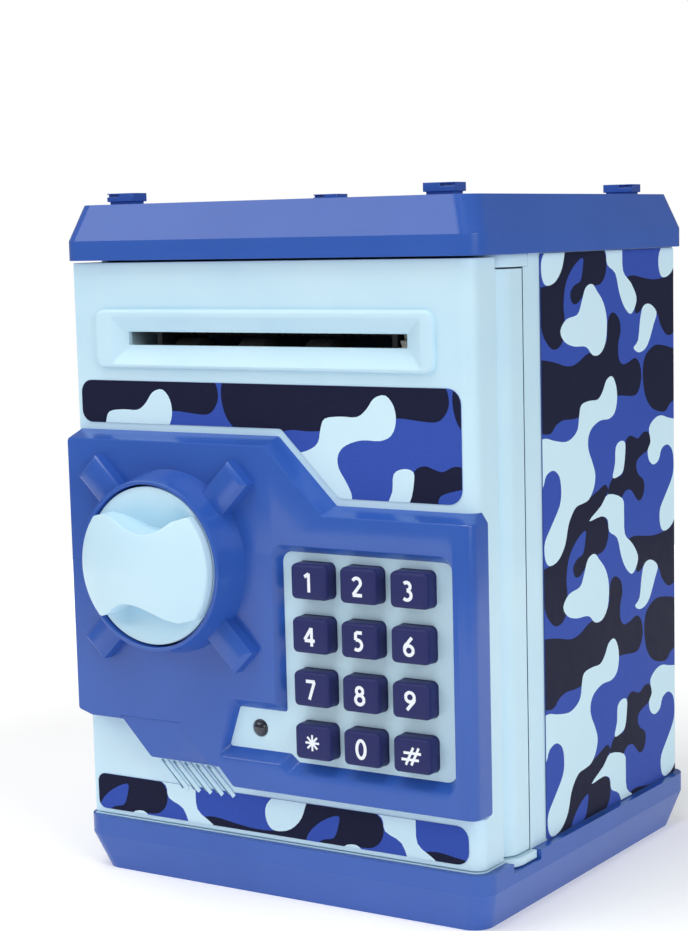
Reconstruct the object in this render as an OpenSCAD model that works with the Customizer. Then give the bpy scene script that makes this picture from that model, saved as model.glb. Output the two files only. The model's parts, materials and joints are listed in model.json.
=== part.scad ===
// Toy bank shaped like a small cash machine: a blue base and lid around a pale box, a hinged door
// with a note slot, a turning knob and a keypad, and the lock, note feed and battery box inside it.
// +X is to the right of someone facing the door, -Y towards them and +Z up. Millimetres.

/* [Body] */
// Width of the pale box and of its door
body_w = 128.8; // [127:0.1:131]
// Depth of the pale box with its door shut
body_d = 120.6; // [119:0.1:124]
// Wall thickness of the box and the door
wall = 2.5; // [2:0.1:2.6]
// Radius of the box's rear corners
body_r = 2.5; // [2.5:0.5:4]

/* [Base and lid] */
// Width of the base and the lid
rim_w = 134; // [133.8:0.1:136]
// Depth of the base and the lid
rim_d = 124.6; // [124:0.1:128]
// Corner radius of the base and the lid
rim_r = 5.7; // [5:0.1:7]
// How far the sloped edges step in
rim_slope = 3.4; // [3:0.1:5]
// Height of the base
base_h = 16; // [15.8:0.1:16.2]
// Height at which the base's sloped edge ends
base_slope_h = 10.5; // [8:0.5:12]
// Height of the lid's lower edge
lid_z = 175.2; // [175:0.1:176]
// Height of the lid's upright edge band
lid_band = 5.4; // [4:0.2:7]
// Height of the lid's top
lid_top = 190.5; // [189:0.5:192]
// Length and width of the coin slot in the lid
coin_slot = [34, 5]; // [5:1:36]

/* [Lid lugs] */
// Length, width and height of one lug
lug = [9.2, 6.2, 3.1]; // [3:0.1:9.4]
// Distance of the lugs from the middle, across and front to back
lug_at = [51.6, 51.2]; // [48:0.1:53]

/* [Door] */
// Radius of the door's front right edge
door_r = 3.5; // [3:0.5:5]
// Depth of the door's edges behind its front face
door_edge = 11.8; // [10:0.1:11.8]
// Lower and upper edge of the door
door_z = [16.7, 174.6]; // [16.7:0.1:174.8]
// Largest opening angle of the door
door_swing = 95; // [60:1:95]

/* [Hinge] */
// Hinge axis, across and front to back
hinge_at = [58.5, -40]; // [-40.2:0.1:58.6]
// Radius of the hinge barrel
barrel_r = 5.9; // [5:0.1:5.9]
// Radius of the hinge pin
pin_r = 2; // [1.5:0.1:2.5]

/* [Note slot] */
// Length and height of the slot
slot = [91, 4.2]; // [4.1:0.1:92]
// Middle of the slot, across and up
slot_at = [-1.5, 153.7]; // [-2:0.1:154]
// Width and height of the raised frame around the slot
bezel = [110, 16.2]; // [15:0.1:112]
// How far that frame stands out from the door
bezel_proud = 1.5; // [1:0.1:2]

/* [Door panel] */
// How far the blue panel stands out from the door
panel_proud = 6; // [5:0.1:6.5]
// Thickness of the panel's walls
panel_wall = 2; // [1.5:0.1:2.2]

/* [Keypad] */
// Middle of the keypad, across and up
keypad_at = [33, 69.2]; // [30:0.1:72]
// Distance between keys, across and up
key_pitch = [15.4, 14.4]; // [13:0.1:16]
// Width and height of a key's face
key_size = [11.4, 9.6]; // [9:0.1:12]
// How far a key stands out from the keypad plate
key_proud = 4.6; // [3:0.1:5]
// Key travel
key_travel = 1.2; // [0.5:0.1:1.2]

/* [Knob] */
// Middle of the knob, across and up
knob_at = [-28.9, 93.2]; // [-29:0.1:94]
// Radius of the knob
knob_r = 21.7; // [20:0.1:21.8]
// How far the knob's rim stands out from the panel
knob_rim = 10; // [8:0.5:12]
// Height of the knob's domed front
knob_dome = 7.2; // [5:0.1:9]
// Outer radius of the collar at the panel and at its rim
collar_r = [25.4, 23.6]; // [23.4:0.1:27]
// Width, reach from the middle and height of a collar lug
collar_lug = [9, 37.4, 4.2]; // [3:0.1:38]
// Angle the knob turns through
knob_turn = 60; // [40:1:60]
// Radius of the crank pin's circle
crank_r = 5; // [4:0.1:5]

/* [Note feed] */
// Radius of the driven roller's tyres
tyre_r = 6.4; // [6:0.1:6.4]
// Radius of the idle roller
idle_r = 4; // [3:0.1:4]
// Teeth on the roller gear and on the motor pinion
gear_teeth = [24, 10]; // [10:1:24]
// Tooth module of both gears
tooth_m = 0.7; // [0.6:0.05:0.7]

/* [Hidden] */
$fn = 64;

pale = [0.80, 0.91, 0.97];
blue = [0.24, 0.40, 0.76];
navy = [0.14, 0.17, 0.38];
grey = [0.55, 0.56, 0.58];
dark = [0.13, 0.13, 0.15];

side_x = body_w / 2;
front_y = -body_d / 2;
back_y = body_d / 2;
door_in_y = front_y + wall;
door_back_y = front_y + door_edge;
shell_front_y = door_back_y + 0.5;
sticker_t = 0.2;
film_x = [-63, 60.8];
film_z = [112.4, 130.2, 142];
film_low_z = [18, 28.3];
film_step_x = [5.2, 23.2];
clear = 0.3;
slip = 0.05;

// Posts that the screws run in, one in each corner
post_r = 4;
post_at = [[-57, -40], [57, -18], [-57, 53.5], [57, 53.5]];
post_h = 14;
screw_r = 1.4;
pilot_r = 1.5;

// Hinge: the barrel has a square corner behind its axis, and the box's wall is relieved round its sweep.
// It turns between a cap and a lip that is let into the base
corner_depth = 5.7;
relief_r = norm([side_x - hinge_at[0], corner_depth]) + clear;
barrel_gap = 0.4;
barrel_z = [base_h + barrel_gap, 171.4];
knuckle_back_y = hinge_at[1] + corner_depth;
bracket_back_y = -29.5;
cap_back_y = -31;
lip_h = 2.4;
lip_out = 1.5;
sill_h = 0.4;

// Speaker grille: the lower end of its leftmost slot, and the slots and ribs that lean to the left
grille_at = [-32, 27.5];
grille_pitch = 4;
grille_lean = 45;
grille_slot = [0.7, 10.6];
grille_rib = [1.4, 10.5];
rib_past = 1.5;
rib_proud = 0.4;

// Door panel
panel_y = front_y - panel_proud;
panel_x = [-side_x, side_x - door_r];
panel_z = [30.2, 128.2];
panel_low_z = [35.2, 45.2];
panel_high_z = 110.4;
panel_r = 2.5;
panel_side_t = 2;
plate_y = panel_y + 3;
plate_t = 1.5;
key_r = 1.6;
led_at = [-2.5, 48.6];
led_r = 2.3;

// Knob and lock
knob_face_y = panel_y - knob_rim;
collar_in_r = knob_r + 0.6;
cam_y = -50;
cam_r = 11;
cam_t = 3;
bolt_y = -46.6;
bolt_t = 4;
crank_pin_r = 1.5;
bolt_tip_x = -55.9;
plunger_r = 1.8;

// Door liner, the tray on the door's inner face
liner_x = [-50, 52.2];
liner_z = [22, 168];
liner_y = -24;
liner_t = 2;
cell_r = 7.2;
cell_len = 50;
cell_y = -33.2;
cell_z = [40, 55.5, 71];
cell_x = -26;
liner_screw_at = [[-44.6, 27.4], [47.6, 27.4], [-44.6, 118], [47.6, 118], [-44.6, 162.2], [47.6, 162.2]];

// Note feed
roller_y = -48;
drive_z = slot_at[1] - 0.2 - tyre_r;
idle_z = drive_z + tyre_r + 0.4 + idle_r;
frame_x = [-40, 37];
frame_t = 1.6;
gear_x = 39.5;
gear_w = 4;
gear_gap = tooth_m * (gear_teeth[0] + gear_teeth[1]) / 2 + 0.1;
motor_y = roller_y + gear_gap * cos(45);
motor_z = drive_z - gear_gap * sin(45);
shaft_r = 1.5;

// A box between two opposite corners
module block(low, high) {
    translate(low) cube(high - low);
}

// A flat rectangle with round corners, centred on the origin
module round_rect(w, d, r) {
    square([w - 2 * r, d], center = true);
    square([w, d - 2 * r], center = true);
    for (x = [-1, 1], y = [-1, 1])
        translate([x * (w / 2 - r), y * (d / 2 - r)]) circle(r);
}

// The same, with its lower left corner on the origin
module corner_rect(w, d, r) {
    translate([w / 2, d / 2]) round_rect(w, d, r);
}

// A thin slab of the base's and lid's outline, stepped in all round
module rim_slab(inset, z) {
    translate([0, 0, z]) linear_extrude(0.01)
        round_rect(rim_w - 2 * inset, rim_d - 2 * inset, rim_r);
}

// Stands a flat outline, drawn across and up, between two depths
module upright(near_y, far_y) {
    translate([0, far_y, 0]) rotate([90, 0, 0]) linear_extrude(far_y - near_y) children();
}

// A round bar along Y from near to far
module bar_y(r, near_y, far_y, at) {
    translate([at[0], far_y, at[1]]) rotate([90, 0, 0]) cylinder(r = r, h = far_y - near_y);
}

// A round bar along X from one end to the other
module bar_x(r, from_x, to_x, y, z) {
    translate([from_x, y, z]) rotate([0, 90, 0]) cylinder(r = r, h = to_x - from_x);
}

// Blue base: a tray with sloped lower edges, screw posts and a notch for the hinge bracket
module base() {
    color(blue) difference() {
        union() {
            difference() {
                union() {
                    hull() {
                        rim_slab(rim_slope, 0);
                        rim_slab(0, base_slope_h);
                    }
                    translate([0, 0, base_slope_h]) linear_extrude(base_h - base_slope_h)
                        round_rect(rim_w, rim_d, rim_r);
                }
                translate([0, 0, 3]) linear_extrude(base_h) round_rect(118, 108, 3);
            }
            for (p = post_at) translate([p[0], p[1], 2.6]) cylinder(r = post_r + 0.8, h = base_h - 2.6);
        }
        for (p = post_at) {
            translate([p[0], p[1], -1]) cylinder(r = 3.4, h = 7);
            translate([p[0], p[1], 1]) cylinder(r = 1.7, h = base_h + 1);
        }
        translate([0, 0, base_h - lip_h - clear]) {
            block([51, hinge_at[1] - barrel_r - lip_out - clear, 0],
                [rim_w, knuckle_back_y + lip_out + clear, base_h]);
            block([51, hinge_at[1], 0], [side_x - wall + clear, bracket_back_y + clear, base_h]);
        }
    }
}

// Pale box: left, rear and right walls, screw posts, and the sill below the door
module body_shell() {
    color(pale) difference() {
        union() {
            difference() {
                translate([0, 0, base_h]) linear_extrude(lid_z - base_h) difference() {
                    round_rect(body_w, body_d, body_r);
                    square([body_w - 2 * wall, body_d - 2 * wall], center = true);
                }
                block([-90, front_y - 1, 0], [0, shell_front_y, 200]);
                block([-60, front_y - 1, 0], [90, hinge_at[1] + 4, 200]);
            }
            for (p = post_at, z = [base_h, lid_z - post_h]) translate([0, 0, z]) {
                translate(p) cylinder(r = post_r, h = post_h);
                block([p[0] > 0 ? p[0] : -side_x + 1, p[1] - 1.5, 0],
                    [p[0] > 0 ? side_x - 1 : p[0], p[1] + 1.5, post_h]);
            }
            translate([0, 0, base_h]) linear_extrude(sill_h) door_outline(-0.2, 3);
            block([-side_x + 1, shell_front_y, base_h], [51, shell_front_y + 3, base_h + 3]);
        }
        translate([hinge_at[0], hinge_at[1], 0]) cylinder(r = relief_r, h = 200);
        block([hinge_at[0], hinge_at[1], barrel_z[1] + barrel_gap], [side_x + 1, cap_back_y + slip, 200]);
        for (p = post_at) translate([p[0], p[1], 0]) cylinder(r = pilot_r, h = 200);
    }
}

// Blue lid: sloped upper edges, open below, with screw posts and the coin slot
module top_lid() {
    color(blue) difference() {
        union() {
            difference() {
                hull() {
                    rim_slab(0, lid_z);
                    rim_slab(0, lid_z + lid_band);
                    rim_slab(rim_slope, lid_top - 0.01);
                }
                translate([0, 0, lid_z - 1]) linear_extrude(lid_top - lid_z - 1.5)
                    round_rect(123, 113.6, 3);
            }
            for (p = post_at) translate([p[0], p[1], lid_z]) cylinder(r = post_r, h = 13);
        }
        for (p = post_at) translate([p[0], p[1], lid_z - 1]) cylinder(r = pilot_r, h = 10);
        translate([0, 0, lid_top - 5]) linear_extrude(10) square(coin_slot, center = true);
    }
}

// Four small lugs on the lid, narrower at the foot, each with a groove at its outer end
module lid_lugs() {
    color(blue) for (x = [-1, 1], y = [-1, 1])
        translate([x * lug_at[0], y * lug_at[1], lid_top]) difference() {
            union() {
                block([-lug[0] / 2 + 0.6, -lug[1] / 2 + 0.6, 0], [lug[0] / 2 - 0.6, lug[1] / 2 - 0.6, 1]);
                block([-lug[0] / 2, -lug[1] / 2, 0.8], [lug[0] / 2, lug[1] / 2, lug[2]]);
            }
            translate([x * (lug[0] / 2 + 0.4), -lug[1] / 2, 0])
                block([-lug[0] / 2, -1, 2.1], [lug[0] / 2, 0.8, 2.8]);
        }
}

// Guide below the coin slot
module coin_chute() {
    color(pale) translate([0, 0, lid_top - 2.5]) mirror([0, 0, 1]) linear_extrude(16) difference() {
        square([coin_slot[0] + 5, coin_slot[1] + 5], center = true);
        square([coin_slot[0] + 1, coin_slot[1] + 1], center = true);
    }
}

// Printed camouflage sheets on the two sides
module side_sheet(side, from_y) {
    x = side > 0 ? side_x : -side_x - sticker_t;
    block([x, from_y, base_h + 0.3], [x + sticker_t, back_y - body_r + 0.5, lid_z - 0.3]);
}

module side_sticker_left() {
    color(navy) side_sheet(-1, -44);
}

module side_sticker_right() {
    color(navy) side_sheet(1, -25);
}

// Steel pin that the door turns on
module hinge_pin() {
    color(grey) translate([hinge_at[0], hinge_at[1], base_h - 1]) cylinder(r = pin_r, h = lid_z - base_h + 0.8);
}

// A fixed hinge bracket, grown past the barrel's outline and ending behind it on the box's side
module hinge_bracket(low_z, high_z, grow, side_back_y) {
    color(pale) difference() {
        translate([hinge_at[0], hinge_at[1], low_z]) linear_extrude(high_z - low_z) {
            circle(barrel_r + grow);
            translate([-barrel_r - grow, 0]) square([side_x - wall - slip - hinge_at[0] + barrel_r + grow,
                bracket_back_y - hinge_at[1]]);
            square([side_x + grow - hinge_at[0], side_back_y - hinge_at[1]]);
        }
        translate([hinge_at[0], hinge_at[1], 0]) cylinder(r = pin_r + slip, h = 200);
    }
}

// Cap above the door's barrel
module hinge_bracket_top() {
    hinge_bracket(barrel_z[1] + barrel_gap, lid_z, 0, cap_back_y);
}

// Lip below the door's barrel, let into the base
module hinge_bracket_bottom() {
    hinge_bracket(base_h - lip_h, base_h, lip_out, knuckle_back_y + lip_out);
}

// Pocket on the left wall that the bolt slides into
module latch_keeper() {
    pin_low = knob_at[1] - crank_r;
    color(grey) difference() {
        block([-side_x + wall, -48.1, pin_low - 6.2], [bolt_tip_x - 0.5, -41, pin_low + 6.2]);
        block([-side_x + wall + 0.8, bolt_y - 0.5, pin_low - 4.6],
            [bolt_tip_x, bolt_y + bolt_t + 0.5, pin_low + 4.6]);
    }
}

// A pan-head screw standing on the origin, its point up
module screw(head_r, head_h, len) {
    cylinder(r = head_r, h = head_h);
    cylinder(r = screw_r, h = head_h + len);
}

module base_screws() {
    color(grey) for (p = post_at) translate([p[0], p[1], 3.6]) screw(3, 2.4, 18);
}

module lid_screws() {
    color(grey) for (p = post_at) translate([p[0], p[1], lid_z - post_h - 2]) screw(3, 2, 21);
}

// Outline of the door seen from above, its front right edge rounded, ending past the door's back
module door_outline(inset, past) {
    r = door_r - inset;
    x = side_x - inset;
    translate([side_x - door_r, front_y + door_r]) intersection() {
        circle(r);
        translate([-1, -r]) square([r + 1, r + 0.5]);
    }
    translate([-x, front_y + inset]) square([x + side_x - door_r, door_edge - inset + past]);
    translate([0, front_y + door_r]) square([x, door_edge - door_r + past]);
}

// Slanted slots of the speaker grille
module grille_slots() {
    for (i = [0 : 4]) translate([grille_at[0] + i * grille_pitch, grille_at[1]]) rotate(grille_lean)
        translate([-grille_slot[0] / 2, 0]) square(grille_slot);
}

// Low ribs beside those slots, reaching past their lower ends
module grille_ribs() {
    for (i = [0 : 4]) translate([grille_at[0] + i * grille_pitch, grille_at[1]]) rotate(grille_lean)
        translate([grille_slot[0] / 2, -rib_past]) square(grille_rib);
}

// Door: a shallow tray with the hinge barrel along its right edge
module door_front() {
    key_span = [key_pitch[0] * 2 + key_size[0] + 4, key_pitch[1] * 3 + key_size[1] + 4];
    color(pale) difference() {
        union() {
            difference() {
                translate([0, 0, door_z[0]]) linear_extrude(door_z[1] - door_z[0]) door_outline(0, 0);
                translate([0, 0, door_z[0] + wall]) linear_extrude(door_z[1] - door_z[0] - 2 * wall)
                    door_outline(wall, 1);
            }
            translate([0, 0, barrel_z[0]]) linear_extrude(barrel_z[1] - barrel_z[0]) {
                translate(hinge_at) circle(barrel_r);
                translate(hinge_at) square([side_x - hinge_at[0], knuckle_back_y - hinge_at[1]]);
                translate([side_x - 4.1, door_back_y - 1]) square([2, 7]);
            }
            upright(front_y - rib_proud, front_y) grille_ribs();
        }
        translate([hinge_at[0], hinge_at[1], 0]) cylinder(r = pin_r + slip, h = 200);
        upright(front_y - 1, door_in_y + 1) {
            translate(slot_at) square([slot[0] + 8, slot[1] + 8], center = true);
            translate(keypad_at) square(key_span, center = true);
            translate(led_at) circle(led_r - 0.7);
            grille_slots();
        }
        bar_y(collar_in_r - 14, front_y - 1, door_in_y + 1, knob_at);
    }
}

// Raised frame round the note slot, with a mouth that narrows towards the slot
module slot_bezel() {
    mouth = [slot[0] + 9, slot[1] + 6.6];
    color(pale) difference() {
        union() {
            upright(front_y - bezel_proud, front_y) translate(slot_at) round_rect(bezel[0], bezel[1], 3);
            upright(front_y, door_in_y) translate(slot_at)
                square([slot[0] + 7.4, slot[1] + 7.4], center = true);
        }
        hull() {
            upright(front_y - bezel_proud - 0.01, front_y - bezel_proud) translate(slot_at)
                square(mouth, center = true);
            upright(door_in_y - 1.2, door_in_y - 1.19) translate(slot_at) square(slot, center = true);
        }
        upright(front_y, door_in_y + 1) translate(slot_at) square(slot, center = true);
    }
}

// Outline of the blue panel, across and up, as far as the door's rounded edge
module panel_outline() {
    polygon([[panel_x[0], panel_low_z[1] + 1.4], [panel_x[0] + 4.6, panel_low_z[1]],
        [-47.2, panel_low_z[1]], [-37.4, panel_low_z[0]], [-13.6, panel_low_z[0]], [-8.6, panel_z[0]],
        [panel_x[1], panel_z[0]], [panel_x[1], panel_high_z], [22.4, panel_high_z],
        [4.4, panel_z[1]], [panel_x[0], panel_z[1]]]);
}

// Window that shows the keypad plate and the light
module keypad_window(grow) {
    translate(keypad_at) round_rect(52.8 + 2 * grow, 57.6 + 2 * grow, 3);
    polygon([[-13 - grow, 42.5 - grow], [10, 42.5 - grow], [10, 53.9 + grow], [-9 - grow, 53.9 + grow]]);
}

// Blue panel: hollow behind, and wrapped round the door's front right edge
module door_panel() {
    out_x = side_x + panel_side_t;
    color(blue) difference() {
        union() {
            difference() {
                upright(panel_y, front_y) panel_outline();
                upright(panel_y + panel_wall, front_y + 1) difference() {
                    offset(delta = -panel_wall) panel_outline();
                    keypad_window(2);
                }
            }
            translate([0, 0, panel_z[0]]) linear_extrude(panel_high_z - panel_z[0]) difference() {
                union() {
                    translate([out_x - panel_r, panel_y + panel_r]) circle(panel_r);
                    translate([panel_x[1], panel_y])
                        square([out_x - panel_r - panel_x[1], front_y + door_r - panel_y]);
                    translate([panel_x[1], panel_y + panel_r])
                        square([out_x - panel_x[1], front_y + door_r - panel_y - panel_r]);
                }
                translate([panel_x[1], front_y + door_r]) circle(door_r + slip);
            }
        }
        upright(panel_y - 1, front_y + 1) keypad_window(0);
        bar_y(collar_in_r - 14, panel_y - 1, front_y + 1, knob_at);
    }
}

// Fixed collar round the knob, with four slanted lugs
module knob_collar() {
    color(blue) difference() {
        union() {
            translate([knob_at[0], panel_y, knob_at[1]]) rotate([90, 0, 0])
                cylinder(r1 = collar_r[0], r2 = collar_r[1], h = knob_rim);
            for (a = [45 : 90 : 315]) translate([knob_at[0], 0, knob_at[1]]) rotate([0, a, 0])
                block([0, panel_y - collar_lug[2], -collar_lug[0] / 2],
                    [collar_lug[1], panel_y, collar_lug[0] / 2]);
        }
        bar_y(collar_in_r, knob_face_y - 1, panel_y - 1, knob_at);
        bar_y(collar_in_r - 14, panel_y - 3, panel_y + 1, knob_at);
    }
}

// Middle of each key: columns from the left, rows from the top
function key_place(column, row) =
    [keypad_at[0] + (column - 1) * key_pitch[0], keypad_at[1] + (1.5 - row) * key_pitch[1]];

// Plate that the keys stand in
module keypad_plate() {
    color(pale) difference() {
        upright(plate_y, plate_y + plate_t) keypad_window(-0.05);
        for (c = [0 : 2], r = [0 : 3]) upright(plate_y - 1, plate_y + plate_t + 1)
            translate(key_place(c, r))
                round_rect(key_size[0] + 2 * clear, key_size[1] + 2 * clear, key_r + clear);
        bar_y(led_r + slip, plate_y - 1, plate_y + plate_t + 1, led_at);
    }
}

// Rubber sheet behind the keys
module keypad_membrane() {
    color(dark) upright(door_in_y - 1.2, door_in_y - 0.1) translate(keypad_at)
        square([key_pitch[0] * 2 + key_size[0] + 3, key_pitch[1] * 3 + key_size[1] + 3], center = true);
}

// Circuit board
module main_board() {
    color([0.10, 0.35, 0.18]) difference() {
        block([2, door_in_y, 40.5], [57, door_in_y + 1.6, 99]);
        for (x = [6, 53], z = [44.5, 95]) bar_y(1.5, door_in_y - 1, door_in_y + 3, [x, z]);
    }
}

// Indicator light beside the keypad
module status_led() {
    color(dark) {
        bar_y(led_r, plate_y - 0.3, front_y - 0.1, led_at);
        translate([led_at[0], plate_y - 0.3, led_at[1]]) intersection() {
            sphere(led_r);
            block([-3, -3, -3], [3, 0, 3]);
        }
    }
}

// A film on the door's face and its rounded edge, cut to a flat outline drawn across and up
module door_film() {
    color(navy) intersection() {
        translate([0, 0, door_z[0]]) linear_extrude(door_z[1] - door_z[0]) difference() {
            door_outline(-sticker_t, -1);
            door_outline(0, 0);
        }
        upright(front_y - 1, front_y + door_r) children();
    }
}

// Printed camouflage sheet above the panel, its lower edge following the panel's step
module door_sticker_upper() {
    right = film_x[1] - film_step_x[1];
    door_film() {
        translate([film_x[0], film_z[1]]) corner_rect(film_step_x[1] - film_x[0], film_z[2] - film_z[1], 4);
        translate([film_step_x[1], film_z[0]]) corner_rect(right, film_z[2] - film_z[0], 4);
        polygon([[film_step_x[0], film_z[1]], [film_step_x[1], film_z[0]], [film_step_x[1] + 8, film_z[0]],
            [film_step_x[1] + 8, film_z[2]], [film_step_x[0], film_z[2]]]);
    }
}

// Printed camouflage strip below the panel
module door_sticker_lower() {
    door_film() difference() {
        translate([film_x[0], film_low_z[0]])
            corner_rect(film_x[1] - film_x[0], film_low_z[1] - film_low_z[0], 3.5);
        grille_slots();
        grille_ribs();
    }
}

// Tray on the door's inner face that covers the works, with a battery bay and a way out for notes
module door_liner() {
    in_x = [liner_x[0] + liner_t, liner_x[1] - liner_t];
    color(pale) difference() {
        union() {
            difference() {
                block([liner_x[0], door_in_y, liner_z[0]], [liner_x[1], liner_y, liner_z[1]]);
                block([in_x[0], door_in_y - 1, liner_z[0] + liner_t],
                    [in_x[1], liner_y - liner_t, liner_z[1] - liner_t]);
            }
            block([cell_x - 4, cell_y - cell_r - 2, cell_z[0] - cell_r - 2],
                [cell_x + cell_len + 8, liner_y - 2, cell_z[2] + cell_r + 2]);
            block([cell_x - 7.4, liner_y - 4, cell_z[0] - cell_r - 5.8],
                [cell_x + cell_len + 11.4, liner_y, cell_z[2] + cell_r + 5.8]);
            for (p = liner_screw_at) bar_y(post_r, door_in_y, liner_y - 1, p);
        }
        block([cell_x - 2, cell_y - cell_r - 0.4, cell_z[0] - cell_r - 0.4],
            [cell_x + cell_len + 6, liner_y - 2, cell_z[2] + cell_r + 0.4]);
        block([cell_x - 5.6, liner_y - 2.1, cell_z[0] - cell_r - 4],
            [cell_x + cell_len + 9.6, liner_y + 1, cell_z[2] + cell_r + 4]);
        block([slot_at[0] - 46.5, liner_y - 5, slot_at[1] - 4],
            [slot_at[0] + 46.5, liner_y + 1, slot_at[1] + 4]);
        block([liner_x[0] - 1, bolt_y - 0.3, knob_at[1] - crank_r - 4.4],
            [in_x[0] + 1, bolt_y + bolt_t + 0.3, knob_at[1] - crank_r + 4.4]);
        block([in_x[1] - 1, door_in_y - 1, 40], [liner_x[1] + 1, door_in_y + 2, 99.5]);
        for (p = liner_screw_at) {
            bar_y(pilot_r, door_in_y - 1, liner_y + 1, p);
            bar_y(3.2, liner_y - 1.6, liner_y + 1, p);
        }
    }
}

module battery_cover() {
    color(pale) difference() {
        block([cell_x - 5.3, liner_y - 1.9, cell_z[0] - cell_r - 3.7],
            [cell_x + cell_len + 9.3, liner_y, cell_z[2] + cell_r + 3.7]);
        for (i = [0 : 3]) translate([0, liner_y, cell_z[1] - 6 + i * 4])
            block([-8, -0.6, 0], [6, 1, 1.4]);
    }
}

// Three AA cells, side by side
module batteries() {
    color([0.25, 0.27, 0.30]) for (i = [0 : 2]) {
        flip = i == 1 ? -1 : 1;
        middle = cell_x + 2 + cell_len / 2;
        bar_x(cell_r - 0.1, middle - 24.2, middle + 24.2, cell_y, cell_z[i]);
        bar_x(2.7, flip > 0 ? middle + 24 : middle - 25.4, flip > 0 ? middle + 25.4 : middle - 24,
            cell_y, cell_z[i]);
    }
}

// Spring and plate contacts at the ends of the cells
module battery_contacts() {
    middle = cell_x + 2 + cell_len / 2;
    color(grey) for (i = [0 : 2], end = [-1, 1]) {
        plate_x = middle + end * 27.1;
        block([plate_x - 0.3, cell_y - 5, cell_z[i] - 5], [plate_x + 0.3, cell_y + 5, cell_z[i] + 5]);
        if ((i == 1 ? -1 : 1) * end < 0) translate([middle + end * 24.6, cell_y, cell_z[i]])
            rotate([0, end * 90, 0]) cylinder(r1 = 2.5, r2 = 4, h = 2.2);
    }
}

// Loudspeaker behind the grille
module speaker() {
    color(dark) {
        bar_y(12, door_in_y, door_in_y + 3, [-29, 37]);
        bar_y(9, door_in_y + 3, door_in_y + 8, [-29, 37]);
    }
}

// Motor that turns the driven roller
module feed_motor() {
    color(grey) difference() {
        bar_x(7, 20, frame_x[1], motor_y, motor_z);
        bar_x(1.05, 30, frame_x[1] + 1, motor_y, motor_z);
    }
}

// Frame that carries the rollers, with a plate at each end
module feed_frame() {
    color(dark) difference() {
        union() {
            for (x = [frame_x[0], frame_x[1]])
                block([x, -54.5, motor_z - 5], [x + frame_t, -33, idle_z + 4]);
            block([frame_x[0], -54.5, idle_z + 5.4], [frame_x[1] + frame_t, -33, idle_z + 6.6]);
            for (x = [frame_x[0], frame_x[1]]) block([x, -54.5, idle_z + 3], [x + frame_t, -33, idle_z + 6.6]);
        }
        bar_x(shaft_r + slip, -60, 60, roller_y, drive_z);
        bar_x(shaft_r + slip, -60, 60, roller_y, idle_z);
        bar_x(1.9, 0, 60, motor_y, motor_z);
    }
}

// Sensor that notices a note
module bill_sensor() {
    color(dark) block([-8, door_in_y, slot_at[1] + 3.2], [4, door_in_y + 3, slot_at[1] + 7.2]);
}

// Coil that moves the lock's plunger
module lock_solenoid() {
    low_z = knob_at[1] + cam_r + 4;
    color(grey) difference() {
        block([knob_at[0] - 8, door_in_y, low_z], [knob_at[0] + 8, cam_y + cam_t / 2 + 7, low_z + 16]);
        translate([knob_at[0], cam_y + cam_t / 2, low_z - 1]) cylinder(r = plunger_r + 0.08, h = 17.5);
    }
}

module door_screws() {
    color(grey) for (p = liner_screw_at)
        translate([p[0], liner_y - 0.1, p[1]]) rotate([90, 0, 0]) screw(2.8, 1.4, 14);
}

// Wavy edge of the grip on the knob's face
module scoop_outline() {
    steps = 24;
    reach = 18;
    wave = [for (i = [0 : steps])
        let (x = -reach + 2 * reach * i / steps) [x, -10.4 - 2.2 * sin(x * 180 / 16 + 30)]];
    polygon(concat(wave, [[reach, -30], [-reach, -30]]));
}

// Turning knob: a dome with two scooped sides that leave a grip between them, on a round shaft
module knob() {
    sphere_r = (knob_r * knob_r + knob_dome * knob_dome) / (2 * knob_dome);
    color(pale) {
        difference() {
            union() {
                bar_y(knob_r, knob_face_y, panel_y - 0.4 - 3, knob_at);
                translate([knob_at[0], knob_face_y + sphere_r - knob_dome, knob_at[1]]) intersection() {
                    sphere(sphere_r);
                    rotate([90, 0, 0]) cylinder(r = knob_r, h = sphere_r * 2);
                    translate([-50, -sphere_r - 1, -50]) cube([100, knob_dome + 1, 100]);
                }
            }
            for (a = [0, 180]) translate([knob_at[0], 0, knob_at[1]]) rotate([0, a, 0])
                upright(knob_face_y - knob_dome - 1, knob_face_y - 1.2) intersection() {
                    scoop_outline();
                    circle(knob_r - 2);
                }
        }
        bar_y(5, panel_y - 3.5, cam_y, knob_at);
    }
}

// Notched disc on the knob's shaft with the crank pin that moves the bolt
module lock_cam() {
    color(grey) translate([knob_at[0], 0, knob_at[1]]) {
        difference() {
            bar_y(cam_r, cam_y, cam_y + cam_t, [0, 0]);
            for (a = [0, -knob_turn]) rotate([0, a, 0])
                block([-2.3, cam_y - 1, cam_r - 3.4], [2.3, cam_y + cam_t + 1, cam_r + 2]);
        }
        rotate([0, -knob_turn / 2, 0]) bar_y(crank_pin_r, cam_y + cam_t, bolt_y + bolt_t, [0, -crank_r]);
    }
}

// Sliding bolt, with an upright slot for the crank pin
module latch_bolt() {
    pin_x = knob_at[0] + crank_r * sin(knob_turn / 2);
    low_z = knob_at[1] - crank_r;
    color(grey) difference() {
        block([bolt_tip_x, bolt_y, low_z - 4.1], [-17, bolt_y + bolt_t, low_z + 4.1]);
        block([pin_x - crank_pin_r - clear, bolt_y - 1, low_z - crank_pin_r - 0.5],
            [pin_x + crank_pin_r + clear, bolt_y + bolt_t + 1, low_z + crank_pin_r + 1.3]);
    }
}

// Plunger that drops into the cam's notch
module lock_plunger() {
    color(grey) translate([knob_at[0], cam_y + cam_t / 2, knob_at[1] + cam_r + 0.4])
        cylinder(r = plunger_r, h = 16);
}

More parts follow.
